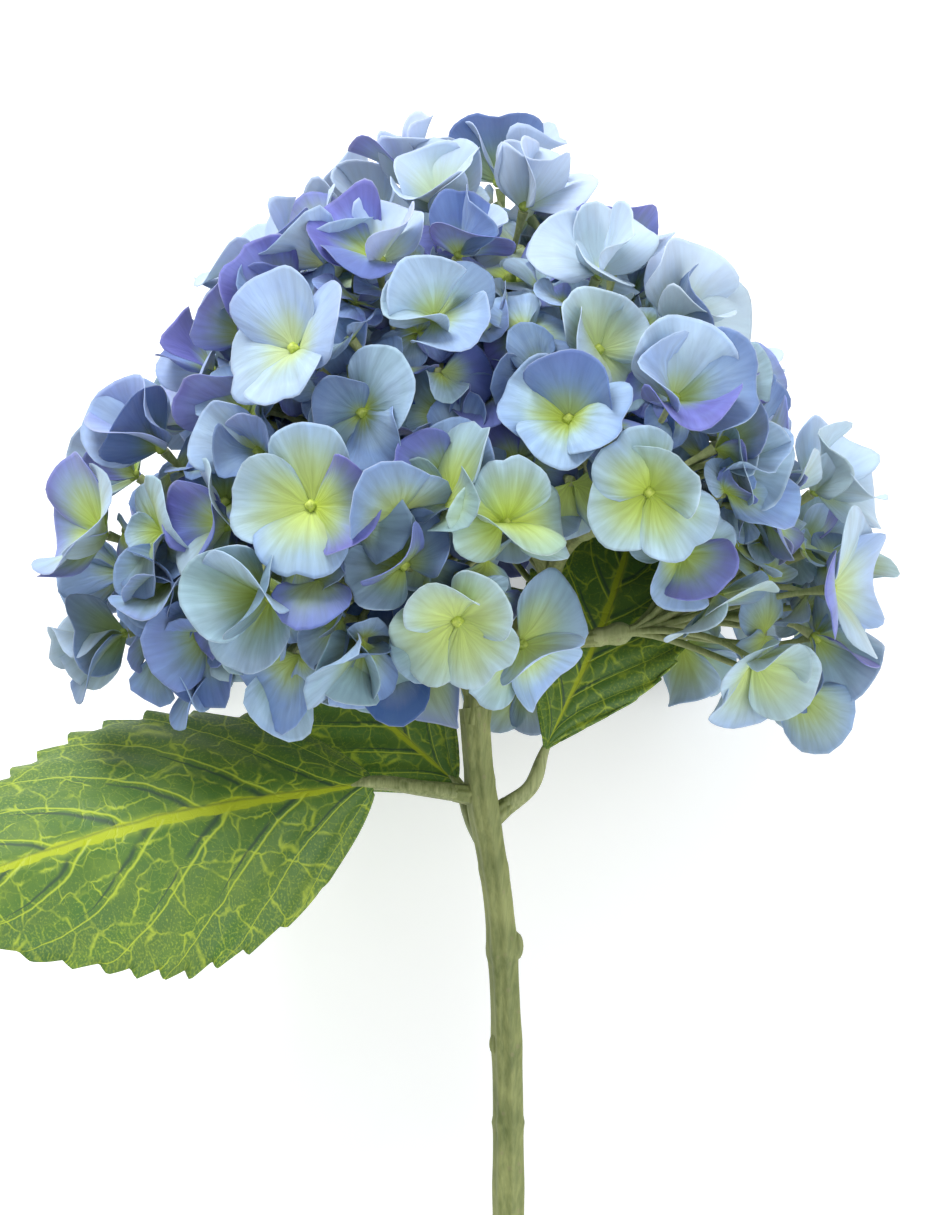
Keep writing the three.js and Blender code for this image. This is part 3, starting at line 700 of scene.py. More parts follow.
def leaf_material(colours):
    """Leaf blade, grown: satin, puckered between its veins, mid green with a net of yellow-green veins, a
    bright midrib, and painted shade: dark strokes for the folds beside the side veins and a dark line for the
    fold beside the midrib. The UV map holds decimetres: x across the blade and y along it."""
    material, tree, shader = new_material("Hydrangea leaf", IOR=1.45, Sheen_Weight=0.1)
    place = add(tree, "ShaderNodeUVMap", uv_map="UVMap")
    across, along = (
        add(tree, "ShaderNodeAttribute", output="Fac", attribute_name=label) for label in ("across", "along")
    )
    side = add(tree, "ShaderNodeMath", (across,), operation="ABSOLUTE")
    # Side veins: halfway between this phase's whole numbers. They sweep towards the tip, waver by a
    # millimetre or two, and leave the midrib by turns on its two sides.
    wander = add(tree, "ShaderNodeTexNoise", {"Vector": place, "Scale": 8, "Detail": 3})
    waver = add(tree, "ShaderNodeMath", (wander, 0.3), operation="MULTIPLY")
    bowed = add(tree, "ShaderNodeMath", (side, VEIN_BOW), operation="POWER")
    swept = add(tree, "ShaderNodeMath", (bowed, -VEIN_SWEEP, waver), operation="MULTIPLY_ADD")
    turned = add(tree, "ShaderNodeMath", (across, 0.0), operation="GREATER_THAN")
    by_turns = add(tree, "ShaderNodeMath", (turned, 0.4, swept), operation="MULTIPLY_ADD")
    phase = add(tree, "ShaderNodeMath", (along, SIDE_VEINS, by_turns), operation="MULTIPLY_ADD")
    part = add(tree, "ShaderNodeMath", (phase, 1.0, 0.0), operation="WRAP")
    # The net: cells 7 mm wide, and finer ones of 3 mm, whose lines come and go.
    warp = add(tree, "ShaderNodeTexNoise", {"Vector": place, "Scale": 18, "Detail": 3}, "Color")
    warped = add(tree, "ShaderNodeVectorMath", (warp, (0.05, 0.05, 0), place), operation="MULTIPLY_ADD")
    patches = add(tree, "ShaderNodeTexNoise", {"Vector": place, "Scale": 22, "Detail": 2})
    patchy = add(tree, "ShaderNodeMapRange", (patches, 0.36, 0.6, 0.1, 1))
    wide_net, fine_net = (
        add(tree, "ShaderNodeTexVoronoi", {"Vector": warped, "Scale": scale}, feature="DISTANCE_TO_EDGE")
        for scale in (14, 34)
    )
    # The midrib's ragged band, 3 mm wide, bleeds into the side veins.
    ragged = add(tree, "ShaderNodeMath", (patches, -0.075, side), operation="MULTIPLY_ADD")
    # The fold beside the midrib, a dark line 0.7 mm wide of painted shade.
    midrib_shade_place = add(tree, "ShaderNodeMath", (wander, 0.06, across), operation="MULTIPLY_ADD")
    # Painted shade of the folds: dark strokes, tapering out from the midrib just beside most side veins.
    vein_place, crease_shade_place = (
        add(tree, "ShaderNodeMath", (part, middle), operation="SUBTRACT") for middle in (0.5, 0.64)
    )
    vein_off, crease_shade_off, midrib_shade_off = (
        add(tree, "ShaderNodeMath", (line,), operation="ABSOLUTE")
        for line in (vein_place, crease_shade_place, midrib_shade_place)
    )
    vein_width = add(tree, "ShaderNodeMapRange", (side, 0, 1, 0.055, 0.018))
    crease_shade_width = add(tree, "ShaderNodeMapRange", (side, 0.04, 0.62, 0.12, 0.0001))
    drawn = add(tree, "ShaderNodeMapRange", (wander, 0.36, 0.46, 0, 1))
    # Each line's distance, its half width, its strength and what that is multiplied by.
    lines = {}
    for label, distance, width, most, share in (
        ("side_vein", vein_off, vein_width, 1.0, None),
        ("wide_net", wide_net, 0.05, 1.0, patchy),
        ("fine_net", fine_net, 0.07, 1.0, patchy),
        ("midrib", ragged, 0.014, 1.0, None),
        ("halo", ragged, 0.06, 0.3, None),
        ("stroke", crease_shade_off, crease_shade_width, 0.95, drawn),
        ("fold", midrib_shade_off, 0.02, 1.0, None),
    ):
        lines[label] = add(
            tree, "ShaderNodeMapRange", (distance, 0, width, most, 0), interpolation_type="SMOOTHSTEP"
        )
        if share:
            lines[label] = add(tree, "ShaderNodeMath", (lines[label], share), operation="MULTIPLY")
    # Mottling 11 mm wide, and yellow grains of half a millimetre that thicken towards the edges.
    mottle = add(tree, "ShaderNodeTexNoise", {"Vector": place, "Scale": 9, "Detail": 3})
    grains = add(tree, "ShaderNodeTexNoise", {"Vector": place, "Scale": 190, "Detail": 2})
    edgeward = add(tree, "ShaderNodeMath", (side, 0.16, grains), operation="MULTIPLY_ADD")
    grain = add(tree, "ShaderNodeMapRange", (edgeward, 0.64, 0.82, 0, 0.42))
    coat = add(
        tree, "ShaderNodeValToRGB", {"Fac": mottle},
        stops=[(0.3, colours["leaf_dark"]), (0.52, colours["leaf"]), (0.8, colours["leaf_light"])],
    )
    for factor, label, weight in (
        (grain, "vein", 1.0), (lines["halo"], "vein", 1.0), (lines["fine_net"], "vein", 0.22),
        (lines["wide_net"], "vein", 0.75), (lines["stroke"], "stroke", 1.0),
        (lines["side_vein"], "vein", 0.9), (lines["midrib"], "midrib", 0.9), (lines["fold"], "stroke", 0.45),
    ):
        share = add(tree, "ShaderNodeMath", (factor, weight), operation="MULTIPLY")
        coat = add(tree, "ShaderNodeMix", {"Factor": share, "A": coat, "B": colours[label]}, data_type="RGBA")
    raised = lines["side_vein"]
    for label, weight in (("wide_net", 0.5), ("fine_net", 0.3)):
        raised = add(tree, "ShaderNodeMath", (lines[label], weight, raised), operation="MULTIPLY_ADD")
    finish_surface(tree, shader, coat, raised, 0.35, 0.0004, rough=(mottle, 0.42, 0.66), invert=True)
    return material


def floor_material(colour, glow):
    """Matt seamless studio paper over a light table: almost white, with a faint tooth, and lit from below."""
    material, tree, shader = new_material(
        "Studio paper", Roughness=0.9, Emission_Strength=glow, Emission_Color=srgb("#FFFFFF")
    )
    place = add(tree, "ShaderNodeTexCoord", output="Object")
    tooth = add(tree, "ShaderNodeTexNoise", {"Vector": place, "Scale": 400, "Detail": 2})
    coat = add(
        tree, "ShaderNodeValToRGB", {"Fac": tooth},
        stops=[(0.2, tuple(0.985 * part for part in colour[:3]) + (1.0,)), (0.8, tuple(colour))],
    )
    finish_surface(tree, shader, coat, tooth, 0.05, 0.0001)
    return material


# ---- Petals ----------------------------------------------------------------------------------------------
PETAL_ROWS = (0.0, 0.2, 0.42, 0.64, 0.83, 0.955, 1.0)  # shares of the way from the claw to the rim
OUTER_COLUMNS, INNER_COLUMNS = 23, 13
PETAL_SHEET = 0.009  # thick, for a petal 1 long
PETAL_FAN = math.radians(135)  # to each side of the middle, that the rim runs round to


def petal_kind(name, columns, draw):
    """One way that a petal grows, 1 long, from its claw at the origin along +y, with its face up."""
    reflex, cup, wave, twist, lobe, lean, roll = (next(draw) for _ in range(7))  # each from 0 to 1
    phase = 2 * math.pi * next(draw)
    half_width = 0.5 + 0.11 * next(draw)
    fan = np.linspace(-1, 1, columns)
    round_it = fan * PETAL_FAN
    ripple = 1 + 0.022 * np.sin(3 * round_it + phase) + 0.009 * np.sin(7 * round_it + 2 * phase)
    dent = 1 - 0.1 * lobe**2 * np.exp(-(((round_it - 0.5 * (lean - 0.5)) / 0.24) ** 2))
    rim_x = half_width * np.sin(round_it) * ripple
    rim_y = (0.55 + 0.45 * np.cos(round_it)) * ripple * dent
    points, places = [], []
    for share in PETAL_ROWS:
        claw = 0.45 + 0.55 * smooth(0, 0.5, share)
        x, y = share * rim_x * claw, share * rim_y
        out = x / half_width
        height = 0.3 * y - (0.14 + 0.42 * reflex) * y**2
        height = height + (0.5 * cup - 0.16) * smooth(0.15, 0.8, y) * out**2
        height = height + (0.02 + 0.06 * wave) * share**3 * np.sin(3 * round_it + phase)
        height = height + 0.6 * (twist - 0.5) * y * x
        height = height + max(0, roll - 0.6) * share**2 * np.maximum(0, out) ** 2  # one edge rolls up
        points.append(np.column_stack((x + 0.08 * (lean - 0.5) * y**2, y, height)))
        places.append(np.column_stack(((fan + 1) / 2, np.full(columns, share))))
    return sheet_object(name, np.array(points), np.array(places), PETAL_SHEET)


def sheet_object(name, grid, places, thickness, attributes=()):
    """A closed thin sheet on a grid of points, with a UV place for each and the same thickness all over."""
    rows, columns = grid.shape[:2]
    along = np.gradient(grid, axis=0)
    across = np.gradient(grid, axis=1)
    normal = np.cross(across, along)
    size = np.linalg.norm(normal, axis=2, keepdims=True)
    if (size[0] < 1e-9).any():  # a row that shrinks to one point takes its neighbour's normals
        normal[0], size[0] = normal[1].mean(0), np.linalg.norm(normal[1].mean(0))
    normal = normal / size
    points = np.vstack([(grid + normal * part).reshape(-1, 3) for part in (thickness / 2, -thickness / 2)])
    under = rows * columns
    faces = []
    for row in range(rows - 1):
        for column in range(columns - 1):
            a = row * columns + column
            b, c, d = a + 1, a + columns + 1, a + columns
            faces.append((a, b, c, d))
            faces.append((under + a, under + d, under + c, under + b))
    rim = list(range(columns)) + [row * columns + columns - 1 for row in range(1, rows)]
    rim += [(rows - 1) * columns + column for column in range(columns - 2, -1, -1)]
    rim += [row * columns for row in range(rows - 2, 0, -1)]
    for place, a in enumerate(rim):
        b = rim[(place + 1) % len(rim)]
        faces.append((under + a, under + b, b, a))
    flat = np.vstack((places.reshape(-1, 2),) * 2)
    doubled = [(label, kind, np.concatenate((values.ravel(),) * 2)) for label, kind, values in attributes]
    return mesh_object(name, points, faces, doubled, flat)


def bead_kind(name):
    """The shut true flower, 1 across: a low four-lobed bud."""
    points, faces = [(0, 0, 0.75)], []
    rings, sides = ((0.28, 0.68), (0.45, 0.42), (0.5, 0.1), (0.32, -0.2)), 12  # each ring's radius and height
    for radius, height in rings:
        for side in range(sides):
            angle = 2 * math.pi * side / sides
            lobed = radius * (1 + 0.16 * math.cos(4 * angle))
            points.append((lobed * math.cos(angle), lobed * math.sin(angle), height))
    points.append((0, 0, -0.3))
    last = len(points) - 1
    for side in range(sides):
        after = (side + 1) % sides
        faces.append((0, 1 + side, 1 + after))
        for ring in range(len(rings) - 1):
            a, b = 1 + ring * sides + side, 1 + ring * sides + after
            faces.append((a, a + sides, b + sides, b))
        faces.append((last, 1 + 3 * sides + after, 1 + 3 * sides + side))
    return mesh_object(name, points, faces, uv=[(0.5, 0.5)] * len(points))


def floret_tree():
    """Places petals of several kinds, and each floret's bead, on points that hold their turn and stretch."""
    tree = node_tree(
        "Placed florets",
        (("Petal Kinds", "NodeSocketCollection"), ("Bead", "NodeSocketObject"),
         ("Petal Scale", "NodeSocketFloat"), ("Bead Width", "NodeSocketFloat"),
         ("Petal Material", "NodeSocketMaterial"), ("Bead Material", "NodeSocketMaterial")),
    )
    given = add(tree, "NodeGroupInput").node.outputs
    kind, turn, stretch = (
        add(tree, "GeometryNodeInputNamedAttribute", {"Name": label}, data_type=data_type)
        for label, data_type in (("kind", "INT"), ("turn", "QUATERNION"), ("stretch", "FLOAT_VECTOR"))
    )
    is_petal = add(
        tree, "FunctionNodeCompare", {"A": kind, "B": 0}, data_type="INT", operation="GREATER_EQUAL"
    )
    is_bead = add(tree, "FunctionNodeBooleanMath", (is_petal,), operation="NOT")
    sized = add(tree, "ShaderNodeVectorMath", {0: stretch, "Scale": given["Petal Scale"]}, operation="SCALE")
    kinds = add(
        tree, "GeometryNodeCollectionInfo",
        {"Collection": given["Petal Kinds"], "Separate Children": True, "Reset Children": True},
    )
    bead = add(tree, "GeometryNodeObjectInfo", {"Object": given["Bead"]}, "Geometry")
    joined = add(tree, "GeometryNodeJoinGeometry")
    for material, placed in (
        ("Bead Material", {"Selection": is_bead, "Instance": bead, "Scale": given["Bead Width"]}),
        ("Petal Material", {"Selection": is_petal, "Instance": kinds, "Pick Instance": True,
                            "Instance Index": kind, "Scale": sized}),
    ):
        instances = add(
            tree, "GeometryNodeInstanceOnPoints", {"Points": given["Geometry"], "Rotation": turn, **placed}
        )
        real = add(tree, "GeometryNodeRealizeInstances", {"Geometry": instances})
        covered = add(tree, "GeometryNodeSetMaterial", {"Geometry": real, "Material": given[material]})
        tree.links.new(covered, joined.node.inputs["Geometry"])
    add(tree, "NodeGroupOutput", {"Geometry": joined})
    return tree


TINTS = {"sky": 0.16, "periwinkle": 0.28, "lavender": 0.38}  # from 0, teal, to 1, violet
PETAL_SEED = 77
LAYER = 0.35  # millimetres that alternate petals of a floret lie above or below their middle
LAYER_BEND, LOOSE_BEND = math.radians(3), math.radians(16)  # of alternate petals, and by chance
OUTER_KINDS, INNER_KINDS = 24, 8
BEAD_HEIGHT = 0.6  # above the floret's middle
PRESSED_DEPTH = 0.12  # of a petal's own relief, that is left when it is pressed flat
VIOLET_CHANCE = 0.17
DEEP_CHANCE, DEEP_CHANCE_BACKLIT = 0.18, 0.13  # that a petal is deep blue, and how much less at the backlit top, which the painted highlight keeps pale


def petal_rows(spray, draw):
    """For each petal and bead of a spray: its place, its columns (side, along, up), stretch, kind, tint,
    glow, chance and paleness: a painted highlight above 0, and below 0 painted shade, which deep-blue petals
    chosen by chance also take."""
    rows = []
    for place, floret in enumerate(spray.florets + spray.fillers):
        centre, facing = floret["centre"], floret["facing"]
        x, y, _ = centre
        # How far it lies to the low right, up, at the very top, where it is backlit, to the far right and to
        # either side, from 0 to 1. Its hue and its heart's glow follow from those and from chance. Its
        # paleness is mostly
        # painted light: a painted highlight at the backlit top, the upper right and the sides, and painted
        # shade on deeper florets, with a little chance.
        grown_right = float(smooth(15, 75, x) * smooth(75, 25, y))
        high, backlit = float(smooth(30, 62, y)), float(smooth(45, 110, y))
        far_right, outside = float(smooth(25, 60, x)), float(smooth(20, 75, abs(x)))
        floret_tint = TINTS[spray.tint] + 0.42 * (next(draw) - 0.5) - 0.16 * grown_right + 0.1 * high
        floret_glow = 0.6 + 0.68 * next(draw) - 0.26 * high * float(smooth(112, 95, y))
        # Painted highlight: the backlit top, the upper right and the sides are washed pale, with a little
        # paleness by chance.
        pale = 0.46 * backlit + 0.18 * next(draw) + 0.2 * far_right * high + 0.2 * outside - 0.06
        # Painted shade: florets that sit deeper below their dome are darker, less so at the backlit top.
        pale -= 0.03 * max(0, floret["depth"]) * (1 - 0.6 * backlit)
        first_kind, kinds = 0, OUTER_KINDS
        if place >= len(spray.florets):
            first_kind, kinds = OUTER_KINDS, INNER_KINDS
            # Painted shade: the inner fillers lie in the bloom's shade and are darker still.
            pale -= (0.05 + 0.2 * next(draw)) * (1 - 0.7 * backlit)
        for number, petal in enumerate(floret["petals"]):
            layer = LAYER if number % 2 else -LAYER
            bend = petal["bend"]
            if not floret["pressed"]:
                bend += (LAYER_BEND if number % 2 else -LAYER_BEND) + LOOSE_BEND * (next(draw) - 0.5)
            along = petal["out"] * math.cos(bend) + facing * math.sin(bend)
            up = facing * math.cos(bend) - petal["out"] * math.sin(bend)
            length = petal.get("full", petal["length"]) * (0.9 + 0.14 * next(draw))
            width = length * (1.0 + 0.14 * (next(draw) - 0.5))
            deep = length * (PRESSED_DEPTH if floret["pressed"] else 1)
            tint, petal_pale = floret_tint + 0.34 * (next(draw) - 0.5), pale
            if next(draw) < VIOLET_CHANCE:
                tint, petal_pale = 0.76 + 0.17 * next(draw), min(petal_pale, 0)
            # Deep-blue petals by chance, fewer at the backlit top, which the painted highlight keeps pale.
            if next(draw) < DEEP_CHANCE - DEEP_CHANCE_BACKLIT * backlit:
                petal_pale = min(pale, 0) - 0.3 - 0.4 * next(draw)
            glow = floret_glow + 0.2 * (next(draw) - 0.5)
            kind = first_kind + int(next(draw) * kinds)
            columns, stretch = (-petal["across"], along, up), (width, length, deep)
            claw = centre + facing * layer
            rows.append((claw, columns, stretch, kind, tint, glow, next(draw), petal_pale))
        if place < len(spray.florets):
            columns = (*square_to(facing), facing)
            rows.append((centre + facing * BEAD_HEIGHT, columns, (1, 1, 1), -1, 0, 1, next(draw), 0))
    return rows


def floret_points(spray, rows):
    """The points that a spray's petals and beads grow on."""
    turns = []
    for row in rows:
        columns = laid_way(row[1]).T
        turns.append(tuple(Matrix(columns.tolist()).to_quaternion()))
    values = [("turn", "QUATERNION", turns), ("stretch", "FLOAT_VECTOR", [row[2] for row in rows]),
              ("kind", "INT", [row[3] for row in rows])]
    for place, label in enumerate(("tint", "glow", "chance", "pale"), 4):
        values.append((label, "FLOAT", [row[place] for row in rows]))
    return mesh_object("points_" + spray.name, laid([row[0] for row in rows]), [], values)


# ---- Stalks, branches and the stem -----------------------------------------------------------------------
def rod_tree():
    """Sweeps a round, ribbed profile down every line of a curve, as thick as the line's own radius."""
    tree = node_tree(
        "Ribbed rods",
        (("Sides", "NodeSocketInt"), ("Ribs", "NodeSocketFloat"), ("Rib Depth", "NodeSocketFloat"),
         ("Material", "NodeSocketMaterial")),
    )
    given = add(tree, "NodeGroupInput").node.outputs
    ring = add(tree, "GeometryNodeCurvePrimitiveCircle", {"Resolution": given["Sides"], "Radius": 1.0})
    place = add(tree, "GeometryNodeInputPosition")
    x, y, _ = add(tree, "ShaderNodeSeparateXYZ", {"Vector": place}).node.outputs
    angle = add(tree, "ShaderNodeMath", (y, x), operation="ARCTAN2")
    turns = add(tree, "ShaderNodeMath", (angle, given["Ribs"]), operation="MULTIPLY")
    wave = add(tree, "ShaderNodeMath", (turns,), operation="COSINE")
    deep = add(tree, "ShaderNodeMath", (wave, given["Rib Depth"], 1.0), operation="MULTIPLY_ADD")
    ribbed = add(tree, "ShaderNodeVectorMath", {0: place, "Scale": deep}, operation="SCALE")
    profile = add(tree, "GeometryNodeSetPosition", {"Geometry": ring, "Position": ribbed})
    sweep = add(
        tree, "GeometryNodeCurveToMesh",
        {"Curve": given["Geometry"], "Profile Curve": profile, "Fill Caps": True,
         "Scale": add(tree, "GeometryNodeInputRadius")},
    )
    smoothed = add(tree, "GeometryNodeSetShadeSmooth", {"Geometry": sweep})
    real = add(tree, "GeometryNodeRealizeInstances", {"Geometry": smoothed})
    covered = add(tree, "GeometryNodeSetMaterial", {"Geometry": real, "Material": given["Material"]})
    add(tree, "NodeGroupOutput", {"Geometry": covered})
    return tree


HUB_RADII = (2.0, 2.3, 2.1, 2.2, 2.6, 2.7, 2.5, 1.8, 0.6)  # of a spray's hub, from its foot to its top


def stalk_lines(spray):
    """A spray's hub and the stalk of each of its florets, as lines with radii, in metres."""
    foot, top = spray.hub - spray.growing * (HUB_FOOT + SEAT_GAP + 0.8), spray.hub + spray.growing * 3
    lines = [(laid(spaced(np.array((foot, top)), len(HUB_RADII))), np.array(HUB_RADII) / 1000)]
    for floret in spray.florets + spray.fillers:
        span = np.linalg.norm(floret["centre"] - spray.hub)
        controls = (
            spray.hub, spray.hub + spray.growing * 0.25 * span,
            floret["centre"] - floret["facing"] * 0.3 * span, floret["centre"] - floret["facing"] * 0.3,
        )
        path = bezier(controls, 12)
        share = np.linspace(0, 1, 12)
        radii = 0.85 - 0.2 * share + 0.55 * smooth(0.9, 1, share)
        lines.append((laid(path), radii / 1000))
    return lines


def stem_lines():
    """The stem, its fork, branches, stubs and scars, as lines with radii, in metres."""
    stem = smooth_path(STEM_POINTS, 160)
    level = stem[:, 1]
    share = np.linspace(0, 1, len(stem))
    radii = STEM_RADIUS * (0.95 - 0.03 * np.sin(9 * share))
    for knot, width, swell in KNOTS:
        radii = radii * (1 + swell * np.exp(-(((level - knot) / width) ** 2)))
    lines = [(laid(stem), radii / 1000)]
    trunk = smooth_path(TRUNK_POINTS, 24)
    lines.append((laid(trunk), (3.2 - 0.5 * np.linspace(0, 1, 24)) / 1000))
    for spray in BLOOM:
        end = spray.hub - spray.growing * (HUB_FOOT + SEAT_GAP)
        path = bezier((spray.fork, spray.bow, end), 22)
        share = np.linspace(0, 1, 22)
        collar, swelling = np.exp(-((share / 0.07) ** 2)), np.exp(-(((1 - share) / 0.06) ** 2))
        radii = 1.9 - 0.35 * share + 0.5 * collar + 0.45 * swelling
        lines.append((laid(path), radii / 1000))
    for leaf in LEAVES.values():
        root = stem_point(leaf["joint"])
        path = spaced(np.array((root, root + unit(leaf["growing"]) * STUB_LENGTH)), 8)
        lines.append((laid(path), np.linspace(2.6, 1.95, 8) / 1000))
    for level, turn, size in SCARS:
        out = np.array((math.cos(math.radians(turn)), 0, math.sin(math.radians(turn))))
        middle = stem_point(level) + out * STEM_RADIUS * 0.8
        path = spaced(np.array((middle - (0, 1.9 * size, 0), middle + (0, 1.7 * size, 0))), 9)
        bump = np.sqrt(np.clip(1 - np.linspace(-1, 1, 9) ** 2, 0.02, 1))
        lines.append((laid(path), 0.95 * size * bump / 1000))
    return lines


def stem_point(level):
    """The point of the stem's line at a level."""
    stem = smooth_path(STEM_POINTS, 241)
    return stem[np.argmin(abs(stem[:, 1] - level))]


# ---- Leaves ----------------------------------------------------------------------------------------------
LEAF_ROWS, LEAF_COLUMNS = 160, 33
LEAF_TEETH = 14  # on each side
TOOTH_RISE = 0.72  # of a tooth's length: its long side, so that it points to the tip
TOOTH_CUT, TOOTH_HOOK = 0.075, 1.5  # share of the width that it cuts in, and millimetres that it leans
LEAF_RELIEF, LEAF_RUFFLE, LEAF_CREASE = 0.5, 0.9, 0.7  # millimetres between veins, at the edge, at the midrib
LEAF_SHEET = 0.55  # millimetres thick


def blade_width(share, taper):
    """Half the blade's width, as a share of its widest."""
    return np.sin(math.pi * share**taper)


def leaf_blade(name, leaf):
    """A toothed blade that arches along its midrib, with its veins sunk and the blade puckered between."""
    share = np.linspace(0.008, 0.992, LEAF_ROWS)
    midrib = smooth_path(leaf["midrib"], 400)
    spots = np.linspace(0, 1, 400)
    line = np.column_stack([np.interp(share, spots, midrib[:, axis]) for axis in range(3)])
    along = np.gradient(line, axis=0)
    along = along / np.linalg.norm(along, axis=1, keepdims=True)
    side = np.cross(np.asarray(leaf["facing"], float), along)
    side = side / np.linalg.norm(side, axis=1, keepdims=True)
    up = np.cross(along, side)
    length = np.linalg.norm(np.diff(line, axis=0), axis=1).sum()
    shape = blade_width(share, leaf["taper"])
    tooth = (share * LEAF_TEETH + 0.35 * np.sin(9 * share + leaf["half"])) % 1
    saw = np.where(tooth < TOOTH_RISE, tooth / TOOTH_RISE, (1 - tooth) / (1 - TOOTH_RISE))
    across = np.sin(np.linspace(-1, 1, LEAF_COLUMNS) * math.pi / 2)
    grid, places, around, down = [], [], [], []
    for spot in across:
        outset = abs(spot)
        edge = smooth(0.9, 1, outset)
        wide = leaf["half"] * shape * (1 - TOOTH_CUT * edge * (1 - saw))
        forward = edge * saw * TOOTH_HOOK * shape
        vein = SIDE_VEINS * share - VEIN_SWEEP * outset**VEIN_BOW
        rib = LEAF_RELIEF * shape * np.cos(2 * math.pi * vein) * smooth(0, 0.3, outset)
        wave = np.sin(2 * math.pi * (3.4 * share + 0.2 * np.sign(spot)))
        ruffle = LEAF_RUFFLE * shape * outset**3 * wave
        crease = -LEAF_CREASE * shape * math.exp(-((outset / 0.06) ** 2))
        lift = leaf["cup"] * leaf["half"] * shape * outset**1.5 + rib + ruffle + crease
        grid.append(
            line + along * forward[:, None] + side * (spot * wide)[:, None] + up * lift[:, None]
        )
        places.append(np.column_stack((spot * wide / 100, share * length / 100)))
        around.append(np.full(LEAF_ROWS, spot))
        down.append(share)
    order = (1, 0, 2)
    grid, places = np.array(grid).transpose(order), np.array(places).transpose(order)
    attributes = (("across", "FLOAT", np.array(around).T), ("along", "FLOAT", np.array(down).T))
    flat = laid(grid.reshape(-1, 3)).reshape(grid.shape)
    return sheet_object(name, flat, places, LEAF_SHEET / 1000, attributes)


def leaf_stalk_line(leaf):
    """A leaf's stalk, which runs on as a rib under its blade's midrib, as a line with radii, in metres."""
    growing = unit(leaf["growing"])
    root = stem_point(leaf["joint"])
    seat = root + growing * (STUB_LENGTH + SEAT_GAP)
    base = np.asarray(leaf["midrib"][0], float)
    bow = seat + growing * 0.4 * np.linalg.norm(seat - base)
    underneath = unit(leaf["facing"])
    midrib = smooth_path(leaf["midrib"], 101)
    drops = ((0, 0.6), (12, 1.9), (35, 1.7), (65, 1.4), (92, 1.0))  # place along the midrib, how far below
    ribs = [midrib[place] - underneath * drop for place, drop in drops]
    path = smooth_path([seat - growing, bow, *ribs], 60)
    share = np.linspace(0, 1, 60)
    free = np.linalg.norm(bow - seat) * 2.5
    stalk_share = free / (free + 100)  # about the part of the line before the blade
    thin = smooth(stalk_share * 0.9, stalk_share + 0.16, share)
    return laid(path), (1.75 - 1.0 * thin - 0.45 * share + 0.3 * np.exp(-((share / 0.05) ** 2))) / 1000


# ---- Settings --------------------------------------------------------------------------------------------
def colour_setting(name, description, code):
    return bpy.props.FloatVectorProperty(
        name=name, description=description, subtype="COLOR", size=4, min=0, max=1, default=srgb(code)
    )


class HydrangeaBloomSettings(bpy.types.PropertyGroup):
    """Sizes and colours of the florets."""

    petal_scale: bpy.props.FloatProperty(
        name="Petal Scale", description="Size of the petals, 1 as grown", default=1.0, min=0.5, max=1.5
    )
    bead_width: bpy.props.FloatProperty(
        name="Bead Width", description="Across the bead in each floret", default=0.0026, unit="LENGTH"
    )
    teal: colour_setting("Teal", "Of the greenest petals", "#86A7AC")
    ice: colour_setting("Ice Blue", "Of the palest petals", "#9DBAD3")
    sky: colour_setting("Sky Blue", "Of most petals", "#81A1D3")
    periwinkle: colour_setting("Periwinkle", "Of the warmer blue petals", "#7688C9")
    violet: colour_setting("Violet", "Of the warmest rims", "#6264B2")
    heart: colour_setting("Heart", "Of the petals near the bead", "#B2C843")
    heart_edge: colour_setting("Heart Edge", "Where the heart thins out", "#9DB98C")
    # Painted highlight: the pale colour that petals at the backlit top and at the sides are washed towards.
    pale: colour_setting("Pale", "That young petals fade to", "#CFDDF2")
    # Painted shade of deeper and inner petals, which is also the tone of deep-blue petals chosen by chance.
    deep: colour_setting("Deep", "That shaded inner petals turn to", "#2B4A86")
    rim: colour_setting("Rim", "Of the petals' thin edges", "#CCDAEA")
    bead: colour_setting("Bead", "Of the bead's light side", "#C6D468")
    bead_dark: colour_setting("Bead Shade", "Of the bead's dark side", "#8FA53A")


class HydrangeaStemSettings(bpy.types.PropertyGroup):
    """Sizes and colours of the stem and the stalks."""

    ribs: bpy.props.IntProperty(name="Ribs", description="Ribs round the stem", default=7, min=0, max=12)
    rib_depth: bpy.props.FloatProperty(
        name="Rib Depth", description="Depth of the ribs as a share of the radius", default=0.075, min=0,
        max=0.3,
    )
    light: colour_setting("Light Fibres", "Of the stem's pale fibres", "#939A60")
    dark: colour_setting("Dark Fibres", "Of the stem's dark fibres", "#636F3C")
    stalk_light: colour_setting("Light Stalk", "Of the stalks' pale fibres", "#A6AD78")
    stalk_dark: colour_setting("Dark Stalk", "Of the stalks' dark fibres", "#7D8A50")


class HydrangeaLeafSettings(bpy.types.PropertyGroup):
    """Colours of the leaves."""

    leaf: colour_setting("Green", "Of most of the blade", "#4F7127")
    leaf_dark: colour_setting("Dark Green", "Of the blade's darkest parts", "#436B27")
    leaf_light: colour_setting("Light Green", "Of the blade's yellow mottling", "#67832F")
    vein: colour_setting("Veins", "Of the net and the side veins", "#ABBE34")
    midrib: colour_setting("Midrib", "Of the midrib", "#A8B61C")
    # Painted shade: the dark strokes of the folds beside the side veins, and the dark line of the fold beside
    # the midrib.
    stroke: colour_setting("Strokes", "Of the dark strokes beside the veins", "#2F4A30")


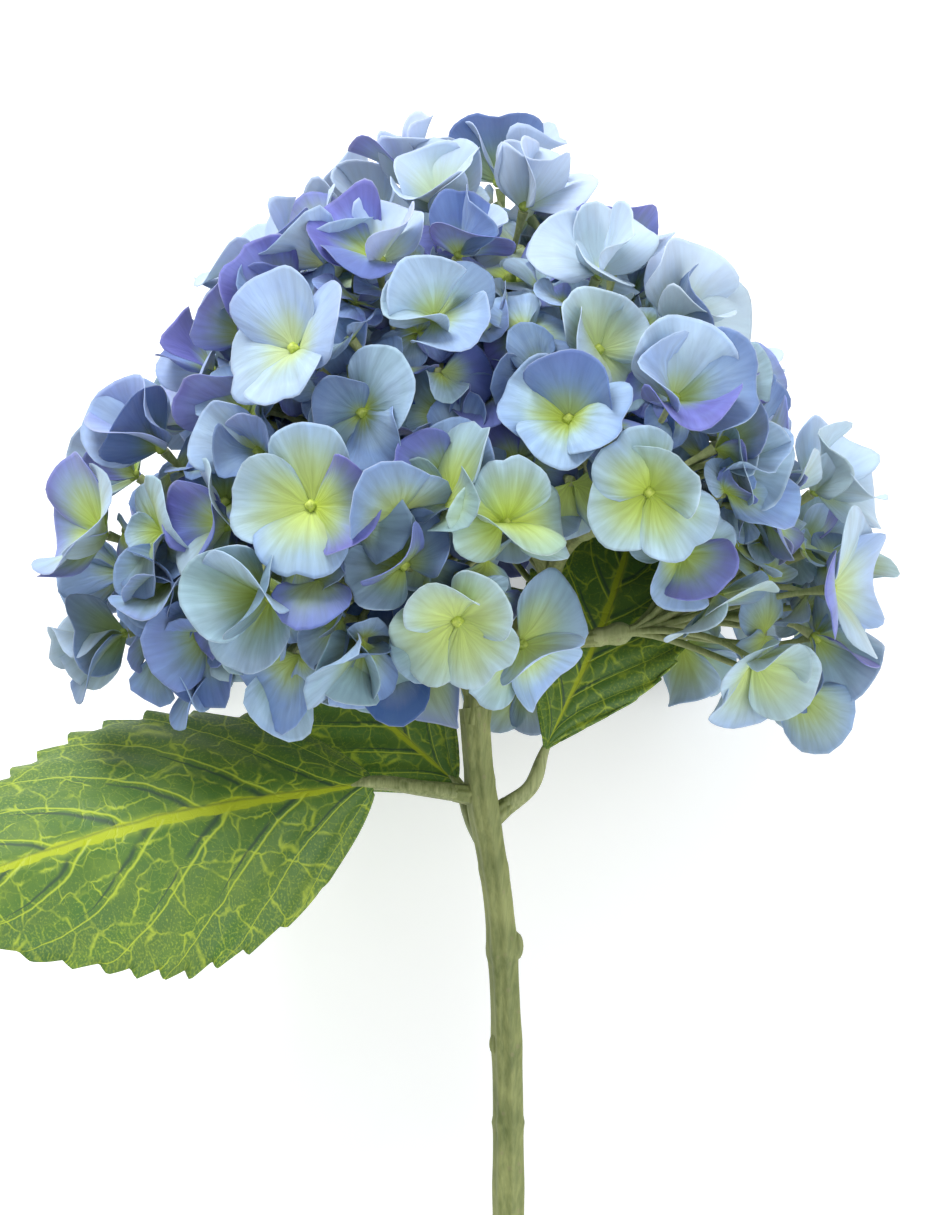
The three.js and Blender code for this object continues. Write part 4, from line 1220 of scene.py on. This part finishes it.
class HydrangeaStageSettings(bpy.types.PropertyGroup):
    """Floor, light and camera."""

    floor: colour_setting("Floor", "Of the studio paper", "#F6F7F8")
    floor_glow: bpy.props.FloatProperty(
        name="Floor Glow", description="Strength of the light table's own light", default=0.29, min=0
    )
    sky_strength: bpy.props.FloatProperty(
        name="Surrounding Light", description="Strength of the even light all round", default=0.58, min=0
    )
    key_power: bpy.props.FloatProperty(
        name="Key Power", description="Of the large soft light", default=13.0, min=0, unit="POWER"
    )
    elevation: bpy.props.FloatProperty(
        name="Elevation", description="Of the camera above the floor", default=math.radians(70),
        subtype="ANGLE",
    )
    distance: bpy.props.FloatProperty(
        name="Distance", description="From the camera to the bloom", default=0.8, unit="LENGTH"
    )
    view_height: bpy.props.FloatProperty(
        name="View Height", description="That the camera takes in at the bloom", default=0.272, unit="LENGTH"
    )


def colours_of(settings):
    """The settings' colours by name."""
    values = {label: getattr(settings, label) for label in settings.__annotations__}
    return {label: tuple(value) for label, value in values.items() if not isinstance(value, float)}


# ---- Operators -------------------------------------------------------------------------------------------
SOFT_REST = 0.001  # metres above the surface below, in which what would pass through it lies


def rest_on_surface(piece):
    """Petals that would pass through the surface below lie on it, within its lowest millimetre."""
    level = np.empty(len(piece.data.vertices) * 3, np.float32)
    piece.data.vertices.foreach_get("co", level)
    up = level[2::3]
    lying = SOFT_REST * np.exp(np.minimum(up / SOFT_REST - 1, 0))
    level[2::3] = np.where(up < SOFT_REST, lying, up)
    piece.data.vertices.foreach_set("co", level)


class HYDRANGEA_OT_florets(bpy.types.Operator):
    """Grow each spray's florets, with four petals and a bead each"""

    bl_idname = "hydrangea.florets"
    bl_label = "Grow Florets"

    def execute(self, context):
        settings = context.scene.hydrangea_bloom
        colours = colours_of(settings)
        petals, beads = petal_material(colours), bead_material(colours)
        draw = seeded(PETAL_SEED)
        kinds = bpy.data.collections.new("Petal kinds")
        for number in range(OUTER_KINDS + INNER_KINDS):
            columns = OUTER_COLUMNS if number < OUTER_KINDS else INNER_COLUMNS
            kinds.objects.link(petal_kind(f"petal_kind_{number:02d}", columns, draw))
        bead = bead_kind("bead_kind")
        tree = floret_tree()
        for spray in BLOOM:
            piece = grown(
                floret_points(spray, petal_rows(spray, draw)), "florets_" + spray.name, tree,
                {"Petal Kinds": kinds, "Bead": bead, "Petal Scale": settings.petal_scale / 1000,
                 "Bead Width": settings.bead_width, "Petal Material": petals, "Bead Material": beads},
            )
            rest_on_surface(piece)
            dress(piece, "petals_" + spray.tint, "spray_" + spray.name)
        for kind in [*kinds.objects, bead]:
            bpy.data.objects.remove(kind)
        bpy.data.collections.remove(kinds)
        return {"FINISHED"}


class HYDRANGEA_OT_stalks(bpy.types.Operator):
    """Grow each spray's hub and its florets' stalks"""

    bl_idname = "hydrangea.stalks"
    bl_label = "Grow Stalks"

    def execute(self, context):
        settings = context.scene.hydrangea_stem
        material = stem_material("Floret stalk", settings.stalk_light, settings.stalk_dark, 0.8)
        tree = rod_tree()
        for spray in BLOOM:
            piece = grown(
                curve_object("lines_" + spray.name, stalk_lines(spray)), "stalks_" + spray.name, tree,
                {"Sides": 10, "Ribs": 5.0, "Rib Depth": 0.03, "Material": material},
            )
            dress(piece, "stem_green")
        return {"FINISHED"}


class HYDRANGEA_OT_stem(bpy.types.Operator):
    """Grow the ribbed stem with its fork, branches, leaf stubs and scars"""

    bl_idname = "hydrangea.stem"
    bl_label = "Grow Stem"

    def execute(self, context):
        settings = context.scene.hydrangea_stem
        material = stem_material("Green wood", settings.light, settings.dark, 1.1)
        piece = grown(
            curve_object("lines_stem", stem_lines()), "ribbed_stem", rod_tree(),
            {"Sides": 40, "Ribs": float(settings.ribs), "Rib Depth": settings.rib_depth,
             "Material": material},
        )
        dress(piece, "stem_green", "stem")
        return {"FINISHED"}


class HYDRANGEA_OT_leaves(bpy.types.Operator):
    """Grow the leaves' toothed blades and their stalks"""

    bl_idname = "hydrangea.leaves"
    bl_label = "Grow Leaves"

    def execute(self, context):
        stem = context.scene.hydrangea_stem
        blade_green = leaf_material(colours_of(context.scene.hydrangea_leaf))
        stalk_green = stem_material("Leaf stalk", stem.stalk_light, stem.dark, 0.9)
        tree = rod_tree()
        for name, leaf in LEAVES.items():
            blade = leaf_blade(name + "_blade", leaf)
            blade.data.materials.append(blade_green)
            context.scene.collection.objects.link(blade)
            dress(blade, "leaf_green", name)
            stalk = grown(
                curve_object("lines_" + name, [leaf_stalk_line(leaf)]), name + "_stalk", tree,
                {"Sides": 16, "Ribs": 3.0, "Rib Depth": 0.08, "Material": stalk_green},
            )
            dress(stalk, "leaf_green")
        return {"FINISHED"}


class HYDRANGEA_OT_stage(bpy.types.Operator):
    """Set the floor, the soft light and the camera"""

    bl_idname = "hydrangea.stage"
    bl_label = "Set Stage"

    def execute(self, context):
        settings = context.scene.hydrangea_stage
        scene = context.scene
        floor = mesh_object("studio_floor", [(-6, -6, 0), (6, -6, 0), (6, 6, 0), (-6, 6, 0)], [(0, 1, 2, 3)])
        floor.data.materials.append(floor_material(tuple(settings.floor), settings.floor_glow))
        scene.collection.objects.link(floor)

        world = bpy.data.worlds.new("Studio")
        world.use_nodes = True
        background = world.node_tree.nodes["Background"]
        background.inputs["Color"].default_value = srgb("#FBFCFF")
        background.inputs["Strength"].default_value = settings.sky_strength
        scene.world = world
        middle = laid((-1.0, 18.5, 0.0))
        for name, way, size, power in (
            ("key_light", (-0.35, 0.75, 0.75), 0.6, settings.key_power),
            ("fill_light", (0.6, -0.5, 0.8), 1.2, settings.key_power * 0.6),
        ):
            lamp = bpy.data.lights.new(name, "AREA")
            lamp.shape, lamp.size, lamp.energy = "DISK", size, power
            lamp_object = bpy.data.objects.new(name, lamp)
            back = Vector(unit(way))
            lamp_object.location = Vector(middle) + back * 1.1
            lamp_object.rotation_euler = back.to_track_quat("Z", "Y").to_euler()
            scene.collection.objects.link(lamp_object)

        camera = bpy.data.cameras.new("camera")
        camera.sensor_fit = "VERTICAL"
        camera.lens = camera.sensor_height * settings.distance / settings.view_height
        camera.clip_start, camera.clip_end = 0.01, 50
        viewer = bpy.data.objects.new("camera", camera)
        back = Vector((0, -math.cos(settings.elevation), math.sin(settings.elevation)))
        viewer.location = Vector(middle) + back * settings.distance
        viewer.rotation_euler = back.to_track_quat("Z", "Y").to_euler()
        scene.collection.objects.link(viewer)
        scene.camera = viewer
        scene.view_settings.view_transform = "Standard"
        return {"FINISHED"}


class HYDRANGEA_PT_panel(bpy.types.Panel):
    """Lists the steps that dress the hydrangea, and their settings"""

    bl_idname = "HYDRANGEA_PT_panel"
    bl_label = "Cut Hydrangea"
    bl_space_type = "VIEW_3D"
    bl_region_type = "UI"
    bl_category = "Hydrangea"

    def draw(self, context):
        scene = context.scene
        for operators, settings in (
            ((HYDRANGEA_OT_florets,), scene.hydrangea_bloom),
            ((HYDRANGEA_OT_stalks, HYDRANGEA_OT_stem), scene.hydrangea_stem),
            ((HYDRANGEA_OT_leaves,), scene.hydrangea_leaf),
            ((HYDRANGEA_OT_stage,), scene.hydrangea_stage),
        ):
            box = self.layout.box()
            for label in settings.__annotations__:
                box.prop(settings, label)
            for operator in operators:
                box.operator(operator.bl_idname)


SETTINGS = {
    "hydrangea_bloom": HydrangeaBloomSettings,
    "hydrangea_stem": HydrangeaStemSettings,
    "hydrangea_leaf": HydrangeaLeafSettings,
    "hydrangea_stage": HydrangeaStageSettings,
}
OPERATORS = (
    HYDRANGEA_OT_stage, HYDRANGEA_OT_stem, HYDRANGEA_OT_leaves, HYDRANGEA_OT_stalks, HYDRANGEA_OT_florets,
)


def register():
    for settings in SETTINGS.values():
        bpy.utils.register_class(settings)
    for label, settings in SETTINGS.items():
        setattr(bpy.types.Scene, label, bpy.props.PointerProperty(type=settings))
    for operator in OPERATORS:
        bpy.utils.register_class(operator)
    bpy.utils.register_class(HYDRANGEA_PT_panel)


def unregister():
    bpy.utils.unregister_class(HYDRANGEA_PT_panel)
    for operator in reversed(OPERATORS):
        bpy.utils.unregister_class(operator)
    for label, settings in reversed(SETTINGS.items()):
        delattr(bpy.types.Scene, label)
        bpy.utils.unregister_class(settings)


def main():
    register()
    for operator in OPERATORS:
        group, action = operator.bl_idname.split(".")
        getattr(getattr(bpy.ops, group), action)()


if __name__ == "__main__":
    main()
